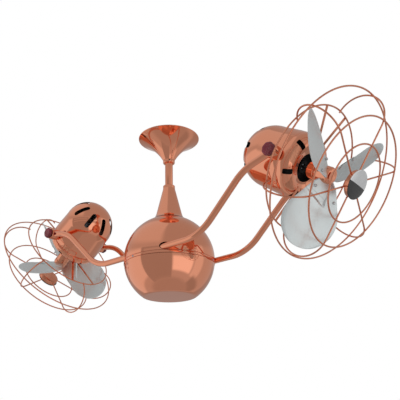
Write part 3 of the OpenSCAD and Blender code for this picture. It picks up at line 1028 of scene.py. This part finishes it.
def knives(slot: Shape, lean: Matrix, number: int, first: float = 0.0) -> list[Shape]:
    """Sets a slot's knife evenly about Z.

    Args:
        slot: The knife, built about the origin.
        lean: Its place at a turn of zero.
        number: How many slots.
        first: The first slot's turn in degrees.

    Returns:
        The knives, which leave black walls: painted shade in the slots and windows.
    """
    return [slot.painted(1).moved(turn("Z", first + 360 / number * i) @ lean) for i in range(number)]


@dataclass(frozen=True)
class Paddle:
    """A blade's outline, camber and pressed V, with X outwards from the hub and Y across."""

    root_x: float = 24.0
    root_half: float = 30.0
    round_x: float = 113.0
    round_r: float = 70.0
    neck: float = 52.0
    camber: float = 500.0
    crease_tip: Point = (77.0, 19.0)
    crease_ends: tuple[Point, Point] = ((34.0, 15.0), (52.0, -30.0))
    crease_ramp: float = 3.0

    def edges(self, x: float) -> Point:
        """Both edges of a paddle: straight sides at its root, then a round.

        Args:
            x: Distance from the hub's middle.

        Returns:
            The lower and the upper edge.
        """
        r = self.round_r
        half = math.sqrt(max(r * r - (x - self.round_x) ** 2, 0.0))
        join_x = self.round_x - r * math.cos(math.radians(self.neck))
        if x < join_x:
            join_half = r * math.sin(math.radians(self.neck))
            half = self.root_half + (join_half - self.root_half) * (x - self.root_x) / (join_x - self.root_x)
        return -half, half

    def bracket_edges(self, x: float) -> Point:
        """Both edges of the hub's bracket under a paddle, at a distance from the hub's middle."""
        return (float(np.interp(x, (10, 24, 42, 66), (-16, -30, -30, 40))),
                float(np.interp(x, (10, 24, 56, 66), (16, 30, 45, 40))))

    def crease_depth(self, x: float, y: float) -> float:
        """How far a point lies into the pressed V, from 0 outside to 1 inside.

        Args:
            x: Distance from the hub's middle.
            y: Distance across the paddle.

        Returns:
            The share of the full depth.
        """
        tip, inside = self.crease_tip, self.crease_ramp
        for end, side in zip(self.crease_ends, (-1.0, 1.0)):
            run = (end[0] - tip[0], end[1] - tip[1])
            off = (run[0] * (y - tip[1]) - run[1] * (x - tip[0])) / math.hypot(*run)
            inside = min(inside, -side * off)
        t = min(max(inside / self.crease_ramp, 0.0), 1.0)
        return t * t * (3 - 2 * t)

    def sheet(self, span: Point, edges: Edges, levels: Point, crease: float = 0.0) -> Shape:
        """A cambered sheet along X, thinner towards its two long edges.

        Args:
            span: Where it begins and ends along X.
            edges: Gives both of its edges at X.
            levels: Heights of its back and its face over the camber.
            crease: Depth of the pressed V.

        Returns:
            The closed sheet.
        """
        along, across, crowd, least, edge_run, blunt = 90, 56, 1.6, 0.02, 6, 0.08
        (start, end), (low, high) = span, levels
        top, edge = [], []
        for i in range(along + 1):
            x = start + (end - start) * (1 - (1 - i / along) ** crowd)
            left, right = edges(x)
            wide = max((right - left) / 2, least)
            for k in range(across + 1):
                s = math.sin(math.pi / 2 * (2 * k / across - 1))
                y = (left + right) / 2 + wide * s
                sag = math.sqrt(self.camber**2 - y * y) - self.camber
                top.append((x, y, sag - crease * self.crease_depth(x, y)))
                edge.append((1 - abs(s)) * edge_run)
        lift = [(high - low) / 2 * math.sqrt(min(1, e + blunt)) for e in edge]
        up = np.array(lift)[:, None] * [0, 0, 1]
        middle = np.array(top) + [0, 0, (high + low) / 2]
        size, count = across + 1, len(top)
        faces = []
        for i in range(along):
            for k in range(across):
                a = i * size + k
                faces.append((a, a + size, a + size + 1, a + 1))
                faces.append((count + a, count + a + 1, count + a + size + 1, count + a + size))
        rim = ([(0, k) for k in range(across)] + [(i, across) for i in range(along)]
               + [(along, k) for k in range(across, 0, -1)] + [(i, 0) for i in range(along, 0, -1)])
        loop = [i * size + k for i, k in rim]
        for a, b in zip(loop, loop[1:] + loop[:1]):
            faces.append((a, b, b + count, a + count))
        return Shape(np.vstack([middle + up, middle - up]), faces)


@dataclass
class Head:
    """One motor head: housing, cover, cage, badge, blades and knobs."""

    finishes: Finishes
    side: Side
    spin: float
    paddle: Paddle = Paddle()
    dome_r: float = 79.0
    dome_back: float = 72.0
    drum_r: float = 82.0
    wall: float = 2.2
    join: float = 12.0
    seam_z: float = 12.0
    seam: float = 0.1
    boss_foot: float = 79.0
    boss_r: float = 11.0
    boss_end: float = 83.2
    trunnion_r: float = 7.0
    trunnion_end: float = 109.5
    bore_r: float = 4.0
    bore_foot: float = 86.0
    slots: int = 8
    slot_span: Point = (31.0, 71.5)
    slot_w: float = 15.0
    slot_reach: Point = (60.0, 90.0)
    cover_slots: int = 6
    window_half: Point = (12.5, 6.5)
    window_round: float = 3.8
    window_reach: float = 12.0
    window_at: Point = (71.0, 38.4)
    window_lean: float = 45.0
    window_turn: float = 25.0
    mouth_r: float = 35.0
    hub_r: float = 21.0
    hub_span: Point = (47.0, 117.0)
    hub_bore: float = 4.0
    hub_band: Point = (68.0, 72.0)
    blade_count: int = 3
    blade_z: float = 106.0
    blade_span: Point = (24.0, 183.0)
    blade_levels: Point = (0.0, 1.6)
    blade_crease: float = 2.2
    bracket_span: Point = (10.0, 66.0)
    bracket_levels: Point = (-2.4, -0.1)
    pitch: float = 35.0
    wire_r: float = 2.0
    bead_r: float = 1.7
    cage_mid: float = 115.0
    loop_r: float = 61.5
    loop_x: float = 140.5
    small_ring: float = 91.5
    ring_angle: float = 79.0
    ribs: int = 6
    rib_turn: float = 28.0
    rib_in: float = 4.0
    strip_foot: Triple = (55.0, 8.0, 44.0)
    strip_spread: float = 16.0
    cup_r: float = 33.0
    badge_r: float = 35.0
    badge_turn: float = -4.0
    screws: tuple[Point, Point] = ((33.0, -21.5), (55.0, 38.0))
    screw_lift: float = 1.3
    screw_head_r: float = 3.6
    knob_r: float = 17.0
    knob_h: float = 12.0
    knob_at: float = 110.3
    lobes: int = 8
    lobe_depth: float = 0.05

    def __post_init__(self) -> None:
        """Finds the head's place from the frame's own joints."""
        joints = {j["name"]: j for j in frame["joints"]}
        word = self.side.word
        pivot = Vector(joints[f"{word}_tilt"]["pos_m"]) / MM
        ahead = Vector(joints[f"{word}_blade_spin"]["axis"]).normalized()
        across = Vector((0, float(self.side.value), 0))
        up = ahead.cross(across)
        self.fork = Matrix.Translation(pivot) @ Matrix((across, up, ahead)).transposed().to_4x4()
        self.head_body = f"{word}_head"
        self.rotor_body = f"{word}_rotor_set"
        self.rib_z = self.cage_mid + self.loop_r
        self.ring_out = 2 * self.wire_r - 0.2
        self.blade_step = 360 / self.blade_count
        self.blade_lean = shift(z=self.blade_z) @ turn("X", self.pitch)

    def name(self, piece: str) -> str:
        """The piece's name on this side."""
        return f"{self.side.word}_{piece}"

    def finish(self, obj: Piece, body: str, slot: str, node: str) -> None:
        """Sets a piece on the fork and hands it over under this side's names."""
        place(obj, self.fork)
        keep(obj, body, slot, self.name(node))

    def make(self, piece: str, shape: Shape, finishes: list[Material], body: str, slot: str, node: str,
             sharp: float = 32.0) -> None:
        """Makes, shades, sets and hands over a piece that needs nothing in between.

        Args:
            piece: The piece's name, without its side.
            shape: The shape in millimetres.
            finishes: Materials, in the order of the shape's finish numbers.
            body: The frame's body that carries it.
            slot: The record's material slot.
            node: The CAD node that it stands for, without its side.
            sharp: Edges that turn by more than this stay sharp, in degrees.
        """
        obj = mesh_from(self.name(piece), shape, finishes)
        soften(obj, sharp)
        self.finish(obj, body, slot, node)

    def rear_housing(self) -> None:
        """The domed rear housing with its long slots, bosses and trunnions."""
        inner, drum_in = self.dome_r - self.wall, self.drum_r - self.wall
        mouth = self.seam_z - self.seam
        outer = arc(0, -self.dome_back, self.dome_r, -90, 4, 48)
        rim = [(self.drum_r, -self.join), (self.drum_r, self.seam_z - 1), (self.drum_r - 0.9, mouth),
               (drum_in, mouth), (drum_in, -self.join)]
        profile = outer + rim + arc(0, -self.dome_back, inner, 4, -90, 40)
        # Faces past the copper outside are black: painted shade inside the housing.
        shell = lined(profile, len(outer) + len(rim) - 1, False)
        obj = mesh_from(self.name("housing_dome"), shell, [self.finishes.copper, self.finishes.black])
        first, last = self.slot_span
        length = 2 * self.dome_r * math.sin(math.radians((last - first) / 2))
        slot = layers([(stadium(length, self.slot_w), z) for z in self.slot_reach])
        lean = shift(z=-self.dome_back) @ turn("Y", 180 - (first + last) / 2)
        # The slot walls come out black: painted shade seen through the slots.
        cut(obj, knives(slot, lean, self.slots))
        place(obj, self.fork)
        boss = lathe(rounded([(0, self.boss_foot), (self.boss_r, self.boss_foot),
                              (self.boss_r, self.boss_end), (self.trunnion_r, self.boss_end),
                              (self.trunnion_r, self.trunnion_end), (self.bore_r, self.trunnion_end),
                              (self.bore_r, self.bore_foot), (0, self.bore_foot)], 0.6, False), 48, False)
        pins = boss.moved(turn("Y", 90)) + boss.moved(turn("Y", -90))
        extra = mesh_from("bosses", pins, [self.finishes.copper])
        soften(extra)
        place(extra, self.fork)
        with bpy.context.temp_override(active_object=obj, selected_editable_objects=[obj, extra]):
            bpy.ops.object.join()
        keep(obj, self.head_body, "copper_cast", self.name("rear_housing"))

    def front_cover(self) -> None:
        """The front cover with its short slots and its open mouth."""
        z, r, mouth = self.seam_z, self.drum_r, self.mouth_r
        outer = rounded([(r - 1.2, z + self.seam), (r, z + 1.0), (r, 19), (81, 25), (77.8, 31.6),
                         (72.5, 37.6), (65.5, 42), (58, 44), (52, 43.4), (45, 40.9), (37, 38),
                         (mouth, 37.4), (mouth, 35.6)], 8.0, False, 5)
        inner = [(45.6, 38.9), (52.4, 41.4), (57.6, 41.8), (64.4, 40), (70.8, 36), (75.8, 30.4), (78.8, 24.3),
                 (79.8, 19), (79.8, 15.2)]
        web = [(15, 15.2), (15, 26), (8, 26), (8, 22), (11, 22), (11, z + self.seam)]
        # Faces past the copper outside, the web included, are black: painted shade inside the cover.
        shell = lined(outer + inner + web, len(outer) - 1, True)
        obj = mesh_from(self.name("cover_dome"), shell, [self.finishes.copper, self.finishes.black])
        outline = oblong(*self.window_half, self.window_round)
        slot = layers([(outline, -self.window_reach), (outline, self.window_reach)])
        lean = shift(self.window_at[0], 0, self.window_at[1]) @ turn("Y", self.window_lean)
        # The window walls come out black: painted shade seen through the windows.
        cut(obj, knives(slot, lean, self.cover_slots, self.window_turn))
        self.finish(obj, self.head_body, "copper_cast", "front_cover")

    def on_loop(self, angle: float, out: float) -> Point:
        """A radius and height by the ribs' loop, at an angle round it and a distance outside it."""
        a, reach = math.radians(angle), self.loop_r + out
        return self.loop_x + reach * math.cos(a), self.cage_mid + reach * math.sin(a)

    def ring_at(self, angle: float) -> Shape:
        """A ring welded round the outside of the ribs' loop, at an angle round the loop."""
        radius, height = self.on_loop(angle, self.ring_out)
        return ring(radius, self.wire_r, height)

    def cage(self) -> None:
        """The rings, the ribs with their weld beads, and the support strips."""
        wire, body, slot = [self.finishes.wire], self.head_body, "copper_wire"
        small = ring(self.small_ring, self.wire_r, self.rib_z + self.ring_out)
        self.make("cage_front_rings", small + self.ring_at(self.ring_angle), wire, body, slot, "front_rings")
        rear = self.ring_at(0) + self.ring_at(-self.ring_angle)
        self.make("cage_rear_rings", rear, wire, body, slot, "rear_rings")
        ribs = mesh_from(self.name("cage_rib_set"), self.rib(), wire)
        Repeater().repeat(ribs, self.ribs, self.rib_turn, 360 / self.ribs)
        strips = mesh_from(self.name("support_strips"), self.strips(), wire)
        Repeater().repeat(strips, 2, 90, 180)
        for obj, node in ((ribs, "cage_ribs"), (strips, "cage_supports")):
            soften(obj)
            self.finish(obj, body, slot, node)

    def rib(self) -> Shape:
        """One rib, from the cup round to the rear ring, with a weld bead at each ring.

        Returns:
            The rib, in the XZ plane.
        """
        steps, inside = 6, self.rib_in
        turn_end = arc(self.loop_x, self.cage_mid, self.loop_r, 90, -84, 60)
        line = [(self.cup_r - inside + (self.loop_x - self.cup_r + inside) * i / steps, self.rib_z)
                for i in range(steps)]
        rib = sweep(np.array([(x, 0.0, z) for x, z in line + turn_end]), disc(self.wire_r, 12))
        spots = [self.on_loop(a, self.wire_r) for a in (-self.ring_angle, 0, self.ring_angle)]
        for x, z in [*spots, (self.small_ring, self.rib_z + self.wire_r)]:
            rib = rib + bead(self.bead_r).moved(shift(x, 0, z))
        return rib

    def strips(self) -> Shape:
        """One V of two flat strips, from the cover out to the rear ring.

        Returns:
            The pair, about the X axis.
        """
        (foot_r, foot_turn, foot_z), width, thick, sink = self.strip_foot, 8.0, 1.6, 0.2
        head_r, ring_z = self.on_loop(-self.ring_angle, self.ring_out)
        head_z = ring_z - self.wire_r - thick / 2 + sink
        pair = []
        for s in (-1, 1):
            a, b = math.radians(foot_turn * s), math.radians(self.strip_spread * s)
            foot = Vector((foot_r * math.cos(a), foot_r * math.sin(a), foot_z))
            head = Vector((head_r * math.cos(b), head_r * math.sin(b), head_z))
            run = head - foot
            length = run.length + 6
            strip = block((length, width, thick), 0.5).moved(shift(length / 2 - 5, 0, 0))
            along = turn("Z", math.degrees(math.atan2(run.y, run.x))) @ turn(
                "Y", -math.degrees(math.atan2(run.z, math.hypot(run.x, run.y))))
            pair.append(strip.moved(Matrix.Translation(foot) @ along))
        return pair[0] + pair[1]

    def badge(self) -> None:
        """The cup and the two-tone badge, bare of any mark."""
        back, front, c, r = self.rib_z - 5, self.rib_z + 10, self.cup_r, self.badge_r
        cup = lathe(rounded([(0, back), (c - 8, back), (c - 1, back + 3), (c, front), (c - 1.5, front),
                             (c - 2.5, back + 4.5), (c - 8.6, back + 1.6), (0, back + 1.6)], 2, False),
                    ROUND, False)
        self.make("badge_back_cup", cup, [self.finishes.wire], self.head_body, "copper_wire", "badge_cup")
        profile = rounded([(0, 0), (r, 0), (r, 1.3), (r - 1.4, 2.0), (r * 0.6, 3.0), (0, 3.6)], 0.9, False)
        face = lathe(profile, 128, False).moved(turn("Z", self.badge_turn))
        for i, f in enumerate(face.faces):
            middle = face.points[list(f)].mean(axis=0)
            angle = math.degrees(math.atan2(middle[1], middle[0])) - self.badge_turn
            face.finish[i] = int(angle % 360 > 180)
        line = block((2 * r - 5, 1.1, 0.8), 0.2).moved(turn("Z", self.badge_turn))
        dome = [(x, y, 3.3 - 1.5 * (math.hypot(x, y) / r) ** 2 + z) for x, y, z in line.points]
        disc_shape = (face + Shape(np.array(dome), line.faces)).moved(shift(z=front))
        self.make("badge_disc", disc_shape, [self.finishes.bright, self.finishes.enamel],
                  self.head_body, "badge_metal", "badge")

    def hub(self) -> None:
        """The hub's barrel with its raised band and its blade brackets."""
        (back, front), (low, high), r, bore = self.hub_span, self.hub_band, self.hub_r, self.hub_bore
        shape = lathe(rounded([(bore, back), (r - 3, back), (r, back + 4), (r, front - 8),
                               (r - 2.4, front - 2.4), (r - 8, front), (bore, front - 1)], 1.5, False),
                      ROUND, False)
        band = rounded([(r - 1, low), (r + 0.9, low), (r + 0.9, high), (r - 1, high)], 0.8)
        shape = shape + lathe(band, ROUND)
        plate = self.paddle.sheet(self.bracket_span, self.paddle.bracket_edges, self.bracket_levels)
        for i in range(self.blade_count):
            shape = shape + plate.painted(1).moved(turn("Z", self.blade_step * i) @ self.blade_lean)
        obj = mesh_from(self.name("hub_spider"), shape, [self.finishes.copper, self.finishes.blade])
        soften(obj)
        place(obj, turn("Z", self.spin))
        self.finish(obj, self.rotor_body, "copper_cast", "blade_hub")

    def blades(self) -> None:
        """The paddles, each with a pressed V at its root, and their screws."""
        shape = self.paddle.sheet(self.blade_span, self.paddle.edges, self.blade_levels, self.blade_crease)
        for i in range(self.blade_count):
            at = turn("Z", self.spin + self.blade_step * i) @ self.blade_lean
            self.make(f"paddle_{i + 1}", shape.moved(at), [self.finishes.blade],
                      self.rotor_body, "blade_aluminium", f"blade_{i + 1}", sharp=60)
        head = lathe(rounded([(0, 3.4), (2.4, 2.9), (3.8, 1.2), (3.8, 0.4), (2, 0.4), (2, -5), (0, -5)],
                             0.6, False), SMALL, False)
        one, two = (head.moved(self.blade_lean @ shift(x, y, self.seat(y))) for x, y in self.screws)
        obj = mesh_from(self.name("blade_screw_set"), one + two, [self.finishes.ground])
        Repeater().repeat(obj, self.blade_count, self.spin, self.blade_step)
        soften(obj)
        self.finish(obj, self.rotor_body, "bearing_steel", "blade_screws")

    def seat(self, y: float) -> float:
        """Height of a screw's head on the cambered blade, by its distance across."""
        return self.screw_lift - (abs(y) - self.screw_head_r) ** 2 / (2 * self.paddle.camber)

    def knobs(self) -> None:
        """The two burgundy clamp knobs, slightly lobed, with their studs."""
        grip, length, plain_r, ramp = self.knob_r, self.knob_h, 9, 6
        profile = rounded([(0, 0), (grip - 3, 0), (grip, 3), (grip, length - 3), (grip - 2.6, length),
                           (grip - 6, length), (0, length - 1)], 2.6, False, 6)
        shape = lathe(profile, ROUND, False)
        x, y, z = shape.points.T
        wave = self.lobe_depth * (0.5 - 0.5 * np.cos(self.lobes * np.arctan2(y, x)))
        swell = 1 - wave * np.clip((np.hypot(x, y) - plain_r) / ramp, 0, 1)
        shape.points = np.stack([x * swell, y * swell, z], 1)
        stud = lathe([(0, -23.5), (3.2, -23.5), (3.95, -22.5), (3.95, 0.5), (0, 0.5)], 32, False)
        for sign in (-1, 1):
            end = "front" if sign * self.side.value < 0 else "back"
            made = (shape + stud.painted(1)).moved(turn("Y", 90 * sign) @ shift(z=self.knob_at))
            self.make(f"{end}_clamp_knob", made, [self.finishes.burgundy, self.finishes.zinc],
                      self.name(f"{end}_knob"), "burgundy", f"knob_{end}", sharp=50)

    def build(self) -> None:
        """Builds every piece of the head."""
        self.rear_housing()
        self.front_cover()
        self.cage()
        self.badge()
        self.hub()
        self.blades()
        self.knobs()


# ---------------------------------------------------------------- frame pieces, studio


def dress_inner(finishes: Finishes) -> None:
    """Gives the hidden mechanical nodes their own finishes.

    Args:
        finishes: Every finish on the fan.
    """
    table = {
        finishes.zinc: ["hanger_bracket", "cross_pins", "main_shaft", "shaft_nut", "chassis", "arm_clamps",
                        "right_rotor", "left_rotor"],
        finishes.ground: ["turret_bearings", "right_motor_bearings", "left_motor_bearings"],
        finishes.black: ["hanger_ball", "brush_holder"],
        finishes.brass: ["slip_ring"],
        finishes.can: ["run_capacitors"],
        finishes.core: ["right_stator", "left_stator"],
    }
    for material, nodes in table.items():
        for n in nodes:
            for slot in frame["nodes"][n].material_slots:
                slot.link = "OBJECT"
                slot.material = material


@dataclass(frozen=True)
class Card:
    """A panel that the polished metal mirrors, by direction seen from the fan.

    Turns run from the camera's direction, positive to its right, and heights from the horizon.
    """

    turns: Point
    heights: Point
    light: float
    soft: float


CARDS = (
    Card((-190, 190), (25, 90), 0.42, 10),
    Card((-150, -20), (30, 90), 0.60, 20),
    Card((-144, -74), (-39, 20), 0.72, 8),
    Card((-74, 7), (-58, 22), 0.36, 3),
    Card((-66, 0), (5, 9), 0.46, 2),
    Card((-66, 0), (14, 18), 0.46, 2),
    Card((9, 64), (-38, -3), 0.95, 8),
    Card((13, 50), (5, 12), 0.80, 3),
    Card((68, 94), (-40, 25), 0.70, 8),
    Card((80, 130), (-60, -35), 0.34, 12),
    Card((-190, 190), (-100, -56), 0.40, 14),
    Card((-190, -146), (-45, 10), 0.36, 10),
    Card((140, 190), (-45, 10), 0.36, 10),
)


@dataclass
class Studio:
    """Camera, lamps, world and floor."""

    eye: Triple = (1.1781, -1.2294, -0.8820)
    turned: Triple = (104.773, 0.558, 42.669)
    lens: float = 55.779
    shift_x: float = 0.0435
    shift_y: float = 0.1945
    sensor: float = 36.0
    clip: Point = (0.05, 60.0)
    aim: Triple = (0.0, 0.0, -0.3)
    floor_z: float = -2.4
    floor_half: float = 14.0
    floor_tone: float = 0.86
    floor_rough: float = 0.8
    floor_glow: float = 0.4
    room_tone: float = 0.75
    room_strength: float = 0.9
    room_mirrored: float = 0.50

    def camera(self) -> None:
        """The camera at the photograph's angle."""
        data = bpy.data.cameras.new("view")
        data.sensor_width, data.lens = self.sensor, self.lens
        data.shift_x, data.shift_y = self.shift_x, self.shift_y
        data.clip_start, data.clip_end = self.clip
        obj = bpy.data.objects.new("view", data)
        obj.location = self.eye
        obj.rotation_euler = [math.radians(a) for a in self.turned]
        bpy.context.scene.collection.objects.link(obj)
        bpy.context.scene.camera = obj

    def lamp(self, name: str, at: Triple, size: Point, watts: float) -> None:
        """A soft box that faces the fan.

        Args:
            name: The lamp's name.
            at: Its place in metres.
            size: Its width and height in metres.
            watts: Its power.
        """
        data = bpy.data.lights.new(name, "AREA")
        data.shape = "RECTANGLE"
        data.size, data.size_y = size
        data.energy = watts
        obj = bpy.data.objects.new(name, data)
        obj.location = at
        obj.visible_glossy = False
        aim = Vector(self.aim) - Vector(at)
        obj.rotation_euler = aim.to_track_quat("-Z", "Y").to_euler()
        bpy.context.scene.collection.objects.link(obj)

    def floor(self) -> None:
        """A pale floor far below, which takes the fan's shadow."""
        r, z, tone = self.floor_half, self.floor_z, self.floor_tone
        mesh = bpy.data.meshes.new("floor")
        mesh.from_pydata([(-r, -r, z), (r, -r, z), (r, r, z), (-r, r, z)], [], [(0, 1, 2, 3)])
        obj = bpy.data.objects.new("floor", mesh)
        bpy.context.scene.collection.objects.link(obj)
        material = bpy.data.materials.new("floor_white")
        material.use_nodes = True
        tree = material.node_tree
        shader = tree.nodes["Principled BSDF"]
        shader.inputs["Base Color"].default_value = (tone, tone, tone, 1)
        shader.inputs["Roughness"].default_value = self.floor_rough
        path = tree.nodes.new("ShaderNodeLightPath")
        glow = tree.nodes.new("ShaderNodeMath")
        glow.operation = "MULTIPLY"
        glow.inputs[1].default_value = self.floor_glow
        tree.links.new(path.outputs["Is Camera Ray"], glow.inputs[0])
        shader.inputs["Emission Color"].default_value = (1, 1, 1, 1)
        tree.links.new(glow.outputs[0], shader.inputs["Emission Strength"])
        mesh.materials.append(material)
        obj.visible_glossy = False

    def mirrored(self, tree: bpy.types.NodeTree) -> Socket:
        """Builds the showroom that polished metal mirrors, one card over another.

        Args:
            tree: The world's node tree.

        Returns:
            The brightness socket.
        """
        link = tree.links.new

        def reckon(kind: str, *values: Socket) -> Socket:
            """Feeds one or two values to a Math node.

            Args:
                kind: Its operation.
                values: What it works on.

            Returns:
                Its result.
            """
            node = tree.nodes.new("ShaderNodeMath")
            node.operation = kind
            for socket, value in zip(node.inputs, values):
                link(value, socket)
            return node.outputs[0]

        def edge(value: Socket, at: float, soft: float, sign: int) -> Socket:
            """Runs from 0 to 1 as an angle passes a card's edge.

            Args:
                value: The angle, in radians.
                at: The edge, in degrees.
                soft: How many degrees it takes.
                sign: 1 to rise past the edge, -1 to fall.

            Returns:
                The share.
            """
            node = tree.nodes.new("ShaderNodeMapRange")
            node.interpolation_type = "SMOOTHSTEP"
            node.inputs["From Min"].default_value = math.radians(at - sign * soft / 2)
            node.inputs["From Max"].default_value = math.radians(at + sign * soft / 2)
            link(value, node.inputs["Value"])
            return node.outputs["Result"]

        place = tree.nodes.new("ShaderNodeTexCoord").outputs["Object"]
        spin = tree.nodes.new("ShaderNodeVectorRotate")
        spin.rotation_type = "Z_AXIS"
        spin.inputs["Angle"].default_value = math.atan2(-self.eye[1], self.eye[0])
        link(place, spin.inputs["Vector"])
        parts = tree.nodes.new("ShaderNodeSeparateXYZ")
        link(spin.outputs[0], parts.inputs[0])
        around = reckon("ARCTAN2", parts.outputs["Y"], parts.outputs["X"])
        height = reckon("ARCSINE", parts.outputs["Z"])
        light = None
        for card in CARDS:
            mask = reckon("MULTIPLY", edge(around, card.turns[0], card.soft, 1),
                          edge(around, card.turns[1], card.soft, -1))
            for at, sign in zip(card.heights, (1, -1)):
                mask = reckon("MULTIPLY", mask, edge(height, at, card.soft, sign))
            mix = tree.nodes.new("ShaderNodeMix")
            link(mask, mix.inputs["Factor"])
            mix.inputs["A"].default_value = self.room_mirrored
            mix.inputs["B"].default_value = card.light
            if light is not None:
                link(light, mix.inputs["A"])
            light = mix.outputs["Result"]
        return light

    def world(self) -> None:
        """A white room to the camera, soft light on the fan, and a showroom in its reflections."""
        world = bpy.data.worlds.new("room")
        bpy.context.scene.world = world
        world.use_nodes = True
        tree = world.node_tree
        link = tree.links.new
        seen = tree.nodes["Background"]
        seen.inputs["Color"].default_value = (self.room_tone, self.room_tone, self.room_tone, 1)
        seen.inputs["Strength"].default_value = self.room_strength
        white = tree.nodes.new("ShaderNodeBackground")
        white.inputs["Color"].default_value = (1, 1, 1, 1)
        room = tree.nodes.new("ShaderNodeBackground")
        link(self.mirrored(tree), room.inputs["Color"])
        path = tree.nodes.new("ShaderNodeLightPath")
        for ray, other in (("Is Glossy Ray", room), ("Is Camera Ray", white)):
            mix = tree.nodes.new("ShaderNodeMixShader")
            link(path.outputs[ray], mix.inputs[0])
            link(seen.outputs[0], mix.inputs[1])
            link(other.outputs[0], mix.inputs[2])
            seen = mix
        link(seen.outputs[0], tree.nodes["World Output"].inputs["Surface"])

    def build(self) -> None:
        """Sets up the view and the light."""
        self.camera()
        self.floor()
        self.world()
        self.lamp("key", (-1.6, -2.6, 0.3), (1.2, 2.2), 40)
        self.lamp("fill", (2.8, -1.2, 0.6), (1.0, 1.8), 25)


def main() -> None:
    """Builds the whole fan in order."""
    logging.basicConfig(level=logging.INFO, format="%(name)s: %(message)s")
    bpy.context.scene.view_settings.view_transform = "Standard"
    finishes = Finishes()
    studio = Studio()
    studio.build()
    dress_inner(finishes)
    Column(finishes).build()
    Ball(finishes).build()
    for side in Side:
        for front in (True, False):
            Arm(finishes, side, front).build()
    Head(finishes, Side.RIGHT, 32.0).build()
    Head(finishes, Side.LEFT, -29.0).build()


if __name__ == "__main__":
    main()
